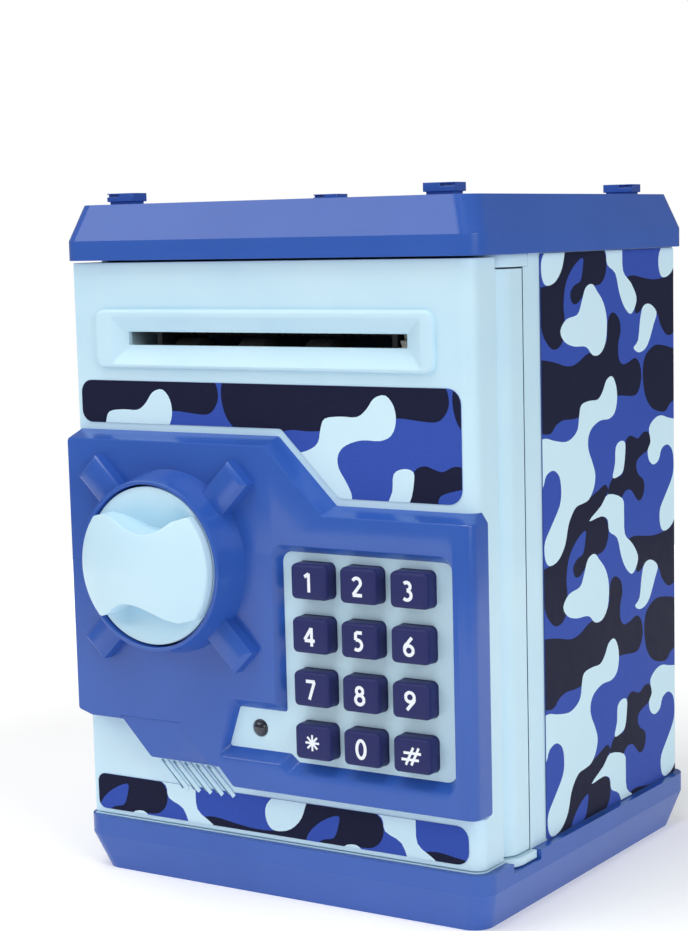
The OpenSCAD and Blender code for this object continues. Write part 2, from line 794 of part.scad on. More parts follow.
// Shaft of the driven roller
module drive_roller() {
    color(dark) {
        bar_x(shaft_r, frame_x[0] - 1, gear_x + gear_w, roller_y, drive_z);
        bar_x(3, frame_x[0] + frame_t + clear, frame_x[1] - clear, roller_y, drive_z);
    }
}

// Rubber tyres on that shaft
module roller_tyres() {
    color([0.2, 0.2, 0.2]) for (x = [-36, -14, 8]) difference() {
        bar_x(tyre_r, x, x + 8, roller_y, drive_z);
        bar_x(3, x - 1, x + 9, roller_y, drive_z);
    }
}

// Flat outline of a spur gear with a tooth pointing along +X
module gear_outline(teeth) {
    pitch_r = teeth * tooth_m / 2;
    root_r = pitch_r - 1.25 * tooth_m;
    step = tooth_m * PI;
    circle(root_r);
    for (i = [0 : teeth - 1]) rotate(i * 360 / teeth)
        polygon([[root_r * 0.9, -0.27 * step], [root_r, -0.27 * step], [pitch_r, -0.2 * step],
            [pitch_r + 0.85 * tooth_m, -0.1 * step], [pitch_r + 0.85 * tooth_m, 0.1 * step],
            [pitch_r, 0.2 * step], [root_r, 0.27 * step], [root_r * 0.9, 0.27 * step]]);
}

// A gear on a shaft along X; the start angle turns it about the shaft
module gear_x_axis(teeth, start) {
    rotate([0, 90, 0]) rotate(start) linear_extrude(gear_w) gear_outline(teeth);
}

module roller_gear() {
    color([0.9, 0.9, 0.88]) difference() {
        translate([gear_x, roller_y, drive_z]) gear_x_axis(gear_teeth[0], 45);
        bar_x(shaft_r, gear_x - 1, gear_x + gear_w + 1, roller_y, drive_z);
    }
}

// Small gear on the motor's shaft
module motor_pinion() {
    color([0.9, 0.9, 0.88]) {
        translate([gear_x, motor_y, motor_z])
            gear_x_axis(gear_teeth[1], 225 + 180 / gear_teeth[1]);
        bar_x(1, 31, gear_x + gear_w + 0.8, motor_y, motor_z);
    }
}

// Roller that presses the note down
module idle_roller() {
    color(grey) {
        bar_x(shaft_r, frame_x[0] - 1, frame_x[1] + frame_t, roller_y, idle_z);
        bar_x(idle_r, frame_x[0] + frame_t + clear, frame_x[1] - clear, roller_y, idle_z);
    }
}

// One key, with a wider foot behind the plate
module key(column, row) {
    face_y = plate_y - key_proud;
    color(navy) translate([key_place(column, row)[0], 0, key_place(column, row)[1]]) {
        upright(face_y, front_y - 0.6) round_rect(key_size[0], key_size[1], key_r);
        upright(plate_y + plate_t + 0.15, front_y - 0.1)
            round_rect(key_size[0] + 2, key_size[1] + 2, key_r);
    }
}

base();
body_shell();
top_lid();
lid_lugs();
coin_chute();
side_sticker_left();
side_sticker_right();
hinge_pin();
hinge_bracket_top();
hinge_bracket_bottom();
latch_keeper();
base_screws();
lid_screws();
door_front();
slot_bezel();
door_panel();
knob_collar();
keypad_plate();
keypad_membrane();
main_board();
status_led();
door_sticker_upper();
door_sticker_lower();
door_liner();
battery_cover();
batteries();
battery_contacts();
speaker();
feed_motor();
feed_frame();
bill_sensor();
lock_solenoid();
door_screws();
knob();
lock_cam();
latch_bolt();
lock_plunger();
drive_roller();
roller_tyres();
roller_gear();
idle_roller();
motor_pinion();
key(0, 0);  // key_1
key(1, 0);  // key_2
key(2, 0);  // key_3
key(0, 1);  // key_4
key(1, 1);  // key_5
key(2, 1);  // key_6
key(0, 2);  // key_7
key(1, 2);  // key_8
key(2, 2);  // key_9
key(0, 3);  // key_star
key(1, 3);  // key_0
key(2, 3);  // key_hash
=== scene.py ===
"""Looks for the toy bank shaped like a cash machine.

Lengths in the outlines below are millimetres in the CAD frame: +X to the right of the door, -Y out of
the door and +Z up. Every mesh is turned into metres by mm().
"""

import json
import math

import bmesh
import bpy
from mathutils import Matrix, Vector
from mathutils.geometry import delaunay_2d_cdt

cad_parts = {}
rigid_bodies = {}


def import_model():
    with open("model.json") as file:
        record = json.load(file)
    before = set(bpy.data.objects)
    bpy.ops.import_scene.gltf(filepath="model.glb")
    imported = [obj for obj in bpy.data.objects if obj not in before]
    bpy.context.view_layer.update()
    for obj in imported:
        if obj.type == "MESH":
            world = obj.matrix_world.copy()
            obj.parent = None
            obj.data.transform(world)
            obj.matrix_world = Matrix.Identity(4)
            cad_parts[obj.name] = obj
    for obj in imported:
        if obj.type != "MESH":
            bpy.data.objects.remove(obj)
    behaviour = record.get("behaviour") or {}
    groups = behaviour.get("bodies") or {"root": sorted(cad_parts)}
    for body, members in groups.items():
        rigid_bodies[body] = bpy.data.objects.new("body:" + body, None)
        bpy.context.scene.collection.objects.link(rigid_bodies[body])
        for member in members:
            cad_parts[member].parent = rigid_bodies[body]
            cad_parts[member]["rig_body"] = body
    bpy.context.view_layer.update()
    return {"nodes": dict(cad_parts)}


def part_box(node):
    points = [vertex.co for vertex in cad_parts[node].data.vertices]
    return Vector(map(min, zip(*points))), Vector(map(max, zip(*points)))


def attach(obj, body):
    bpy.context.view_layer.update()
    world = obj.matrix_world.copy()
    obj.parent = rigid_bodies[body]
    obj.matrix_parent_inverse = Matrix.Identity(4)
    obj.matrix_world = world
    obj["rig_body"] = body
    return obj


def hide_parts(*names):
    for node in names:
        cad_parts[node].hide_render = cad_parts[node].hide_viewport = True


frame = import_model()
nodes = frame["nodes"]


def mm(x, y, z):
    """A point in millimetres as one in metres."""
    return Vector((x, y, z)) * 0.001


def node_box(name):
    """Lowest and highest corner of a CAD node, in millimetres."""
    low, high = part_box(name)
    return low * 1000, high * 1000


def front_middle(name):
    """The middle of a CAD node's box as seen from the front, across and up."""
    low, high = node_box(name)
    return (low.x + high.x) / 2, (low.z + high.z) / 2


# ---------------------------------------------------------------- places taken from the CAD frame

DOOR_HIGH = node_box("door_front")[1]
BEZEL_PROUD = 1.5
DOOR_Y = node_box("slot_bezel")[0].y + BEZEL_PROUD
DOOR_R = 3.5
FLAT_X = DOOR_HIGH.x - DOOR_R
PANEL_LOW, PANEL_HIGH = node_box("door_panel")
PANEL_H = DOOR_Y - PANEL_LOW.y
PANEL_R = 2.5
KNOB_LOW, KNOB_HIGH = node_box("knob")
KNOB_X, KNOB_Z = front_middle("knob")
KNOB_R = (KNOB_HIGH.x - KNOB_LOW.x) / 2
COLLAR_RIM_Y = node_box("knob_collar")[0].y
SIDE_X = node_box("body_shell")[1].x
KEY_FOOT = 1.0
LIGHT_R = 2.3

# ---------------------------------------------------------------- materials


def linear(red, green, blue):
    """A display colour, 0 to 255 a channel, as a linear one."""
    channels = [c / 255 for c in (red, green, blue)]
    return [c / 12.92 if c < 0.04045 else ((c + 0.055) / 1.055) ** 2.4 for c in channels] + [1.0]


def blank(name):
    """A material with an empty shader: (material, its node tree, its Principled shader)."""
    made = bpy.data.materials.new(name)
    made.use_nodes = True
    tree = made.node_tree
    shader = tree.nodes["Principled BSDF"]
    return made, tree, shader


def noise(tree, scale, detail=3.0, stretch=(1, 1, 1)):
    """Noise over the piece's own coordinates, its scale in features per metre."""
    coords = tree.nodes.new("ShaderNodeTexCoord")
    place = tree.nodes.new("ShaderNodeMapping")
    place.inputs["Scale"].default_value = stretch
    made = tree.nodes.new("ShaderNodeTexNoise")
    made.inputs["Scale"].default_value = scale
    made.inputs["Detail"].default_value = detail
    tree.links.new(coords.outputs["Object"], place.inputs["Vector"])
    tree.links.new(place.outputs["Vector"], made.inputs["Vector"])
    return made.outputs["Fac"]


def between(tree, value, low, high):
    """Maps a noise value around a half to the range from low to high."""
    made = tree.nodes.new("ShaderNodeMapRange")
    made.inputs["From Min"].default_value = 0.3
    made.inputs["From Max"].default_value = 0.7
    made.inputs["To Min"].default_value = low
    made.inputs["To Max"].default_value = high
    tree.links.new(value, made.inputs["Value"])
    return made.outputs["Result"]


def mixed(tree, value, first, second):
    """A colour between two, by a value from 0 to 1."""
    made = tree.nodes.new("ShaderNodeMix")
    made.data_type = "RGBA"
    made.inputs[6].default_value = first
    made.inputs[7].default_value = second
    tree.links.new(value, made.inputs["Factor"])
    return made.outputs[2]


def bump(tree, shader, height, distance):
    """Raises the surface by up to a distance in metres where the height is great."""
    made = tree.nodes.new("ShaderNodeBump")
    made.inputs["Distance"].default_value = distance
    tree.links.new(height, made.inputs["Height"])
    tree.links.new(made.outputs["Normal"], shader.inputs["Normal"])


def moulded(name, colour, shade, rough, texture=0.000008, grain=2600, coat=0.0, gloss=0.5):
    """Moulded plastic: a slow drift of colour, a fine surface texture and an uneven gloss."""
    made, tree, shader = blank(name)
    drift = between(tree, noise(tree, 38), 0.0, 1.0)
    tree.links.new(mixed(tree, drift, linear(*colour), linear(*shade)), shader.inputs["Base Color"])
    uneven = between(tree, noise(tree, 420), rough - 0.04, rough + 0.04)
    tree.links.new(uneven, shader.inputs["Roughness"])
    bump(tree, shader, noise(tree, grain, 2.0), texture)
    shader.inputs["Specular IOR Level"].default_value = gloss
    shader.inputs["Coat Weight"].default_value = coat
    shader.inputs["Coat Roughness"].default_value = 0.12
    return made


def printed(name, colour, shade):
    """Printed film: fine dots in the ink, a fairly smooth surface with little specular reflection, and a
    faint bump.
    """
    made, tree, shader = blank(name)
    dots = between(tree, noise(tree, 5200, 1.0), 0.0, 1.0)
    tree.links.new(mixed(tree, dots, linear(*colour), linear(*shade)), shader.inputs["Base Color"])
    tree.links.new(between(tree, noise(tree, 260), 0.30, 0.40), shader.inputs["Roughness"])
    shader.inputs["Specular IOR Level"].default_value = 0.03
    bump(tree, shader, noise(tree, 240, 1.0), 0.00002)
    return made


def brushed(name, colour, shade, rough, stretch):
    """Drawn or turned steel: streaks along one axis."""
    made, tree, shader = blank(name)
    streaks = noise(tree, 900, 4.0, stretch)
    fine = between(tree, streaks, 0.0, 1.0)
    tree.links.new(mixed(tree, fine, linear(*colour), linear(*shade)), shader.inputs["Base Color"])
    tree.links.new(between(tree, streaks, rough - 0.08, rough + 0.08), shader.inputs["Roughness"])
    bump(tree, shader, streaks, 0.00001)
    shader.inputs["Metallic"].default_value = 1.0
    return made


def board_green(name):
    """A circuit board: green lacquer over a darker weave, with traces that show as a raised grid."""
    made, tree, shader = blank(name)
    cells = tree.nodes.new("ShaderNodeTexBrick")
    cells.inputs["Scale"].default_value = 140
    cells.inputs["Mortar Size"].default_value = 0.06
    cells.inputs["Color1"].default_value = linear(22, 96, 52)
    cells.inputs["Color2"].default_value = linear(18, 84, 46)
    cells.inputs["Mortar"].default_value = linear(60, 140, 84)
    coords = tree.nodes.new("ShaderNodeTexCoord")
    turned = tree.nodes.new("ShaderNodeMapping")
    turned.inputs["Rotation"].default_value = (math.pi / 2, 0, 0)
    tree.links.new(coords.outputs["Object"], turned.inputs["Vector"])
    tree.links.new(turned.outputs["Vector"], cells.inputs["Vector"])
    tree.links.new(cells.outputs["Color"], shader.inputs["Base Color"])
    tree.links.new(between(tree, noise(tree, 300), 0.3, 0.45), shader.inputs["Roughness"])
    bump(tree, shader, cells.outputs["Fac"], 0.00004)
    return made


PALE = moulded("pale_plastic", (196, 230, 247), (205, 235, 249), 0.34)
BLUE = moulded("blue_plastic", (46, 88, 174), (49, 92, 179), 0.22)
KEY = moulded("navy_key", (33, 38, 92), (37, 42, 97), 0.45, texture=0.00001, gloss=0.25)
DIGIT = moulded("key_digit", (240, 244, 250), (232, 238, 248), 0.45)
DARK = moulded("dark_plastic", (34, 35, 40), (44, 45, 50), 0.45)
RUBBER = moulded("rubber", (48, 48, 50), (60, 60, 62), 0.75, texture=0.00006, grain=1400)
GEAR = moulded("gear_plastic", (226, 224, 214), (236, 234, 226), 0.4)
LENS = moulded("dark_lens", (26, 29, 44), (34, 37, 54), 0.16, texture=0.000004, coat=0.6)
WRAP = moulded("battery_wrap", (52, 58, 66), (66, 72, 82), 0.3, coat=0.4)
STEEL = brushed("steel", (176, 178, 182), (200, 202, 206), 0.32, (1, 1, 0.05))
BOARD = board_green("circuit_board")
ROYAL_INK = printed("print_royal", (54, 80, 170), (62, 88, 178))
BLACK_INK = printed("print_black", (28, 31, 54), (36, 39, 62))
PALE_INK = printed("print_pale", (204, 235, 249), (212, 239, 250))

# ---------------------------------------------------------------- outlines


def corner_turn(before, here, after):
    """How far an outline turns at a corner, in radians, positive to the left."""
    a = here - before
    b = after - here
    return math.atan2(a.x * b.y - a.y * b.x, a.dot(b))


def smooth_corners(corners, steps=5):
    """A closed outline through corners (across, up, radius), each rounded by an arc of its radius."""
    count = len(corners)
    points = []
    for i, (across, up, radius) in enumerate(corners):
        here = Vector((across, up))
        if radius <= 0:
            points.append(here)
            continue
        before = Vector(corners[i - 1][:2])
        after = Vector(corners[(i + 1) % count][:2])
        turn = corner_turn(before, here, after)
        reach = radius * abs(math.tan(turn / 2))
        start = here + (before - here).normalized() * reach
        end = here + (after - here).normalized() * reach
        side = 1 if turn > 0 else -1
        ahead = (here - before).normalized()
        centre = start + Vector((-ahead.y, ahead.x)) * radius * side
        first = math.atan2(start.y - centre.y, start.x - centre.x)
        for k in range(steps + 1):
            angle = first + turn * k / steps
            points.append(centre + Vector((math.cos(angle), math.sin(angle))) * radius)
        points[-1] = end
    return points


def box_corners(left, low, right, high, radius):
    """The corners of a rectangle, all with the same radius."""
    return [(left, low, radius), (right, low, radius), (right, high, radius), (left, high, radius)]


def inset(corners, by, least=0.15):
    """The same corners stepped inwards, with the radii that keep the rounding even."""
    made = []
    for i, (across, up, radius) in enumerate(corners):
        here = Vector((across, up))
        before = Vector(corners[i - 1][:2])
        after = Vector(corners[(i + 1) % len(corners)][:2])
        a = (here - before).normalized()
        b = (after - here).normalized()
        normal_a = Vector((-a.y, a.x))
        normal_b = Vector((-b.y, b.x))
        out = (normal_a + normal_b) / (1 + normal_a.dot(normal_b))
        moved = here + out * by
        turning_left = a.x * b.y - a.y * b.x > 0
        new_radius = radius - by if turning_left else radius + by
        made.append((moved.x, moved.y, max(least, new_radius) if radius > 0 else 0))
    return made


def morph(first, second, share):
    """Corners a share of the way from one list to another."""
    return [tuple(a + (b - a) * share for a, b in zip(p, q)) for p, q in zip(first, second)]


def circle(radius, count):
    """Points round a circle, leftwards from its right side."""
    angles = [2 * math.pi * i / count for i in range(count)]
    return [Vector((math.cos(a), math.sin(a))) * radius for a in angles]


def closed_spline(points, steps=3):
    """A smooth closed line through the points."""
    made = []
    count = len(points)
    for i in range(count):
        p0, p1, p2, p3 = (Vector(points[(i + k) % count]) for k in (-1, 0, 1, 2))
        for k in range(steps):
            t = k / steps
            made.append(
                (p1 * 2 + (p2 - p0) * t + (p0 * 2 - p1 * 5 + p2 * 4 - p3) * t * t
                 + (p1 * 3 - p0 - p2 * 3 + p3) * t ** 3) / 2
            )
    return made


# ---------------------------------------------------------------- meshes


def is_leftward(loop):
    """Whether a closed line turns to the left all in all, so that its inside is on its left."""
    return sum(loop[i - 1].x * p.y - loop[i - 1].y * p.x for i, p in enumerate(loop)) > 0


def regions(loops):
    """Cuts the plane along closed loops: (points, triangles, the loops round each triangle, sources)."""
    flat = []
    faces = []
    for loop in loops:
        order = list(range(len(flat), len(flat) + len(loop)))
        faces.append(order if is_leftward(loop) else order[::-1])
        flat.extend(loop)
    points, _, triangles, sources, _, owners = delaunay_2d_cdt(flat, [], faces, 1, 1e-6)
    return points, triangles, owners, sources


def ring(bm, points, place):
    """New vertices along an outline; place turns (across, up) into a point in millimetres."""
    return [bm.verts.new(mm(*place(p.x, p.y))) for p in points]


def skin(bm, rings):
    """Faces between each closed ring and the next, all of the same length."""
    for first, second in zip(rings, rings[1:]):
        for i in range(len(first)):
            k = (i + 1) % len(first)
            bm.faces.new((first[i], first[k], second[k], second[i]))


def fill(bm, loops, rings, place, guides=()):
    """Fills the first loop less the others. rings are their vertices, and guides are extra cut lines."""
    points, triangles, owners, origin = regions([*loops, *guides])
    known = [v for r in rings for v in r]
    verts = []
    for sources in origin:
        on_loop = [k for k in sources if k < len(known)]
        verts.append(known[on_loop[0]] if on_loop else None)
    for triangle, inside in zip(triangles, owners):
        holes = [k for k in inside if 0 < k < len(loops)]
        if 0 not in inside or holes:
            continue
        corners = []
        for i in triangle:
            if verts[i] is None:
                verts[i] = bm.verts.new(mm(*place(points[i].x, points[i].y)))
            corners.append(verts[i])
        if len(set(corners)) == len(corners):
            bm.faces.new(corners)


def finished(name, bm, materials, stands_for, sharp, outward=True):
    """Turns a mesh into a piece that replaces a CAD node and moves with it."""
    if outward:
        bmesh.ops.recalc_face_normals(bm, faces=bm.faces)
    mesh = bpy.data.meshes.new(name)
    bm.to_mesh(mesh)
    bm.free()
    for material in materials:
        mesh.materials.append(material)
    mesh.polygons.foreach_set("use_smooth", [True] * len(mesh.polygons))
    mesh.set_sharp_from_angle(angle=math.radians(sharp))
    piece = bpy.data.objects.new(name, mesh)
    bpy.context.scene.collection.objects.link(piece)
    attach(piece, nodes[stands_for]["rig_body"])
    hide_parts(stands_for)
    return piece


def raised(bm, corners, profile, place):
    """A raised shape: rings at (inset, height) from the foot up, with its top filled."""
    rings = []
    for by, height in profile:
        outline = smooth_corners(inset(corners, by))
        rings.append(ring(bm, outline, lambda u, v, h=height: place(u, v, h)))
    skin(bm, rings)
    top = profile[-1][1]
    fill(bm, [outline], [rings[-1]], lambda u, v: place(u, v, top))


def on_door(u, v, h):
    """A point at a height above the door's face, across u and up v."""
    return (u, DOOR_Y - h, v)


# ---------------------------------------------------------------- blue panel on the door

CORNER_X = PANEL_HIGH.x - PANEL_R
TURN_LENGTH = PANEL_R * math.pi / 2
SIDE_LENGTH = PANEL_HIGH.y - PANEL_LOW.y - PANEL_R
END_U = CORNER_X + TURN_LENGTH + SIDE_LENGTH
LEFT_X = PANEL_LOW.x
TOP_Z = PANEL_HIGH.z
SHOULDER_Z = 110.4
HIP_Z = 46.6
WAIST_Z = 45.2
STEP_Z = 35.2
FOOT_Z = PANEL_LOW.z
PANEL_FOOT = [
    (END_U, FOOT_Z, 1.0), (END_U, SHOULDER_Z, 1.0), (22.4, SHOULDER_Z, 1.2), (4.4, TOP_Z, 1.5),
    (LEFT_X, TOP_Z, 1.0), (LEFT_X, HIP_Z, 1.0), (-59.8, WAIST_Z, 1.5), (-47.2, WAIST_Z, 1.5),
    (-37.4, STEP_Z, 1.2), (-18.6, STEP_Z, 0), (-18.0, STEP_Z, 0), (-13.6, STEP_Z, 1.2), (-8.6, FOOT_Z, 1.5),
]
# The face's outline is stepped in from the foot's: above, below, on the left and at the end on the right.
SLOPE_ABOVE = 2.2
SLOPE_BELOW = 1.8
FACE_END_U = END_U - 0.8
FACE_LEFT_X = LEFT_X + 0.3
PANEL_FACE = [
    (FACE_END_U, FOOT_Z + SLOPE_BELOW, 0.8), (FACE_END_U, SHOULDER_Z - SLOPE_ABOVE, 0.8),
    (21.3, SHOULDER_Z - SLOPE_ABOVE, 0.8), (3.2, TOP_Z - SLOPE_ABOVE, 0.9),
    (FACE_LEFT_X, TOP_Z - SLOPE_ABOVE, 0.8), (FACE_LEFT_X, HIP_Z + SLOPE_BELOW, 0.8),
    (-59.4, WAIST_Z + SLOPE_BELOW, 0.9), (-48.6, WAIST_Z + SLOPE_BELOW, 0.9),
    (-38.9, STEP_Z + SLOPE_BELOW, 0.8), (-18.6, STEP_Z + SLOPE_BELOW, 0), (-18.0, STEP_Z + SLOPE_BELOW, 0),
    (-14.9, STEP_Z + SLOPE_BELOW, 0.8), (-10.2, FOOT_Z + SLOPE_BELOW, 0.9),
]
# (share of the way from foot to face, share of the panel's height)
EDGE = [(0.0, 0.0), (0.84, 0.88), (0.93, 0.96), (1.03, 0.99), (1.16, 1.0)]
WINDOW_FACE = [
    (-14.6, 39.9, 1.2), (5.6, 39.9, 1.2), (8.4, 38.1, 1.2), (60.6, 38.1, 3.6), (60.6, 99.9, 3.6),
    (4.8, 99.9, 3.6), (4.8, 56.7, 1.0), (-10.2, 56.7, 1.4),
]
WINDOW_FLOOR = [
    (-12.9, 42.6, 0.7), (7.6, 42.6, 1.0), (10.2, 40.5, 1.0), (59.3, 40.5, 2.9), (59.3, 97.9, 2.9),
    (6.7, 97.9, 2.9), (6.7, 54.0, 0.8), (-9.0, 54.0, 0.8),
]
# (share of the way from the window's face outline to its floor outline, share of the panel's height)
WINDOW_WALL = [(-0.16, 1.0), (-0.03, 0.985), (0.1, 0.94), (1.0, 0.5), (1.0, 0.44)]
FACET_LEFT = -49.0
FACET_TOP = 48.0
FACET_DROP = 0.5
FACET_STEP = 0.3
BEND_STEP = 0.65
BENDS = [FLAT_X + BEND_STEP * i for i in range(20)]
GUIDE_PAST = 10.0
SHAFT_HOLE_R = 8.3
SHAFT_HOLE_FLOOR = 0.66


def facet_edge(v):
    """How far right the sunk facet at the panel's lower left reaches at a height."""
    return -28.0 + (FACET_TOP - v) * 10.0 / 11.0


def facet_drop(u, v):
    """How far the panel's face is sunk at a point, with a narrow slope round the sunk facet."""
    inside = min(FACET_TOP - v, u - FACET_LEFT, (facet_edge(v) - u) * 0.74)
    return FACET_DROP * max(0.0, min(1.0, inside / FACET_STEP))


def panel_outside(u):
    """Where a distance along the panel's outer surface ends, seen from above."""
    angle = (u - CORNER_X) / PANEL_R
    if angle <= 0:
        return Vector((u, PANEL_LOW.y))
    if angle <= math.pi / 2:
        return Vector((CORNER_X + PANEL_R * math.sin(angle), PANEL_LOW.y + PANEL_R * (1 - math.cos(angle))))
    return Vector((PANEL_HIGH.x, PANEL_HIGH.y + u - END_U))


def panel_inside(u):
    """The point of the door's surface that lies behind it."""
    angle = max(0.0, u - FLAT_X) / (END_U - FLAT_X) * math.pi / 2
    across = min(u, FLAT_X) + DOOR_R * math.sin(angle)
    return Vector((across, DOOR_Y + DOOR_R * (1 - math.cos(angle))))


def on_panel(u, v, rise):
    """A point of the panel, at a share of its height above the door."""
    inside = panel_inside(u)
    point = inside + (panel_outside(u) - inside) * rise * (1 - facet_drop(u, v) / PANEL_H)
    return (point.x, point.y, v)


def cut_across(outline, places):
    """The same closed outline with a point wherever it crosses one of the places across."""
    made = []
    for i, here in enumerate(outline):
        after = outline[(i + 1) % len(outline)]
        made.append(here)
        low, high = sorted((here.x, after.x))
        between_them = [x for x in places if low + 1e-6 < x < high - 1e-6]
        for x in between_them if here.x < after.x else reversed(between_them):
            made.append(here + (after - here) * ((x - here.x) / (after.x - here.x)))
    return made


def facet_guides():
    """Cut lines along the sunk facet's slope, and upright ones where the panel bends round the door."""
    step = FACET_STEP
    corner = facet_edge(FACET_TOP)
    face_z = STEP_Z + SLOPE_BELOW
    facet = [(FACET_LEFT, FACET_TOP), (corner, FACET_TOP), (-18.0, face_z), (-18.6, face_z),
             (corner - step, FACET_TOP - step), (FACET_LEFT + step, FACET_TOP - step)]
    low = FOOT_Z - GUIDE_PAST
    high = SHOULDER_Z + GUIDE_PAST
    strips = [((a, low), (b, low), (b, high), (a, high)) for a, b in zip(BENDS[::2], BENDS[1::2])]
    return [[Vector(p) for p in line] for line in (facet, *strips)]


def build_panel():
    """The panel: a moulding that wraps round the door's edge, with a window and a hole for the knob."""
    bm = bmesh.new()
    rings = []
    for share, rise in EDGE:
        outline = cut_across(smooth_corners(morph(PANEL_FOOT, PANEL_FACE, share)), BENDS)
        rings.append(ring(bm, outline, lambda u, v, r=rise: on_panel(u, v, r)))
    skin(bm, rings)
    windows = [smooth_corners(morph(WINDOW_FACE, WINDOW_FLOOR, share)) for share, _ in WINDOW_WALL]
    window_rings = [ring(bm, line, lambda u, v, r=rise: on_panel(u, v, r))
                    for line, (_, rise) in zip(windows, WINDOW_WALL)]
    skin(bm, window_rings)
    shaft = [p + Vector((KNOB_X, KNOB_Z)) for p in circle(SHAFT_HOLE_R, 32)]
    shaft_rings = [ring(bm, shaft, lambda u, v, r=rise: on_panel(u, v, r))
                   for rise in (1.0, SHAFT_HOLE_FLOOR)]
    skin(bm, shaft_rings)
    fill(bm, [outline, windows[0], shaft], [rings[-1], window_rings[0], shaft_rings[0]],
         lambda u, v: on_panel(u, v, 1.0), facet_guides())
    return finished("door_panel_moulding", bm, [BLUE], "door_panel", sharp=24)


PLATE_GAP = 0.1
KEY_HOLE_R = 1.65


def plate_holes():
    """Corners of the plate's holes, one round each key's foot and one round the light."""
    holes = []
    for symbol in GLYPHS:
        low, high = node_box(f"key_{symbol}")
        by = KEY_FOOT - PLATE_GAP
        holes.append(box_corners(low.x + by, low.z + by, high.x - by, high.z - by, KEY_HOLE_R))
    low, high = node_box("status_led")
    by = -PLATE_GAP
    holes.append(box_corners(low.x + by, low.z + by, high.x - by, high.z - by, LIGHT_R))
    return holes


def build_plate():
    """The plate behind the window, with a hole round each key and one for the light."""
    low, high = node_box("keypad_plate")
    bm = bmesh.new()
    outline = smooth_corners(WINDOW_FLOOR)
    loops = [outline]
    rims = [ring(bm, outline, lambda u, v: (u, low.y, v))]
    skin(bm, [rims[0], ring(bm, outline, lambda u, v: (u, high.y, v))])
    steps = [(-0.1, low.y), (0.0, low.y + 0.1), (0.0, high.y)]
    for corners in plate_holes():
        outlines = [smooth_corners(inset(corners, by), 8) for by, _ in steps]
        rings = [ring(bm, line, lambda u, v, d=depth: (u, d, v))
                 for line, (_, depth) in zip(outlines, steps)]
        skin(bm, rings)
        loops.append(outlines[0])
        rims.append(rings[0])
    fill(bm, loops, rims, lambda u, v: (u, low.y, v))
    return finished("keypad_plate_moulding", bm, [PALE], "keypad_plate", sharp=30)


# ---------------------------------------------------------------- frame round the note slot


def build_bezel():
    """The raised frame: a rounded bar all round, and a mouth that narrows towards the slot."""
    low, high = node_box("slot_bezel")
    centre_x, centre_z = front_middle("slot_bezel")
    top = BEZEL_PROUD
    outer = box_corners(low.x, low.z, high.x, high.z, 3.0)
    mouth = box_corners(centre_x - 48.9, centre_z - 6.9, centre_x + 51.3, centre_z + 6.0, 0.8)
    throat = box_corners(centre_x - 45.5, centre_z - 1.9, centre_x + 45.5, centre_z + 1.8, 0.3)
    edge = [(0.0, 0.0), (0.05, top - 0.75), (0.25, top - 0.3), (0.65, top - 0.05), (1.0, top)]
    wall = [(-0.06, top), (0.0, top - 0.08), (0.06, top - 0.28), (1.0, -1.9), (1.0, -3.4)]
    bm = bmesh.new()
    rings = []
    for by, height in edge:
        outline = smooth_corners(inset(outer, by))
        rings.append(ring(bm, outline, lambda u, v, h=height: on_door(u, v, h)))
    skin(bm, rings)
    holes = [smooth_corners(morph(mouth, throat, share)) for share, _ in wall]
    hole_rings = [ring(bm, line, lambda u, v, h=height: on_door(u, v, h))
                  for line, (_, height) in zip(holes, wall)]
    skin(bm, hole_rings)
    fill(bm, [outline, holes[0]], [rings[-1], hole_rings[0]], lambda u, v: on_door(u, v, top))
    return finished("slot_bezel_moulding", bm, [PALE], "slot_bezel", sharp=28)


# ---------------------------------------------------------------- knob and collar


def turned(bm, profile, count=96):
    """A ring of revolution about the knob's axis, from (radius, y) points."""
    rings = []
    for radius, y in profile:
        rings.append([bm.verts.new(mm(KNOB_X + p.x, y, KNOB_Z + p.y)) for p in circle(radius, count)])
    skin(bm, rings)
    return rings


COLLAR_IN_R = 22.3
COLLAR_RIM_R = 23.6
COLLAR_FOOT_R = 25.4
LUG = box_corners(22.9, -4.5, 36.6, 4.5, 0.5)
LUG_PROFILE = [(0.0, 0.0), (0.15, 3.1), (0.3, 3.35), (1.15, 4.1), (1.35, 4.2)]


def build_collar():
    """The fixed collar: a tapered ring with a rounded rim, and four slanted lugs round it."""
    bm = bmesh.new()
    face = PANEL_LOW.y
    rim = COLLAR_RIM_Y
    turned(bm, [(COLLAR_IN_R, face - 0.6), (COLLAR_IN_R, rim + 0.4), (COLLAR_IN_R + 0.1, rim + 0.1),
                (COLLAR_IN_R + 0.3, rim), (COLLAR_RIM_R - 0.5, rim), (COLLAR_RIM_R - 0.25, rim + 0.12),
                (COLLAR_RIM_R - 0.1, rim + 0.4), (COLLAR_RIM_R, rim + 0.9), (COLLAR_FOOT_R, face)])
    for quarter in range(4):
        angle = math.radians(45 + 90 * quarter)
        along = Vector((math.cos(angle), math.sin(angle)))
        across = Vector((-math.sin(angle), math.cos(angle)))

        def place(u, v, h):
            point = Vector((KNOB_X, KNOB_Z)) + along * u + across * v
            return (point.x, face - h, point.y)

        raised(bm, LUG, LUG_PROFILE, place)
    return finished("knob_collar_moulding", bm, [BLUE], "knob_collar", sharp=24)


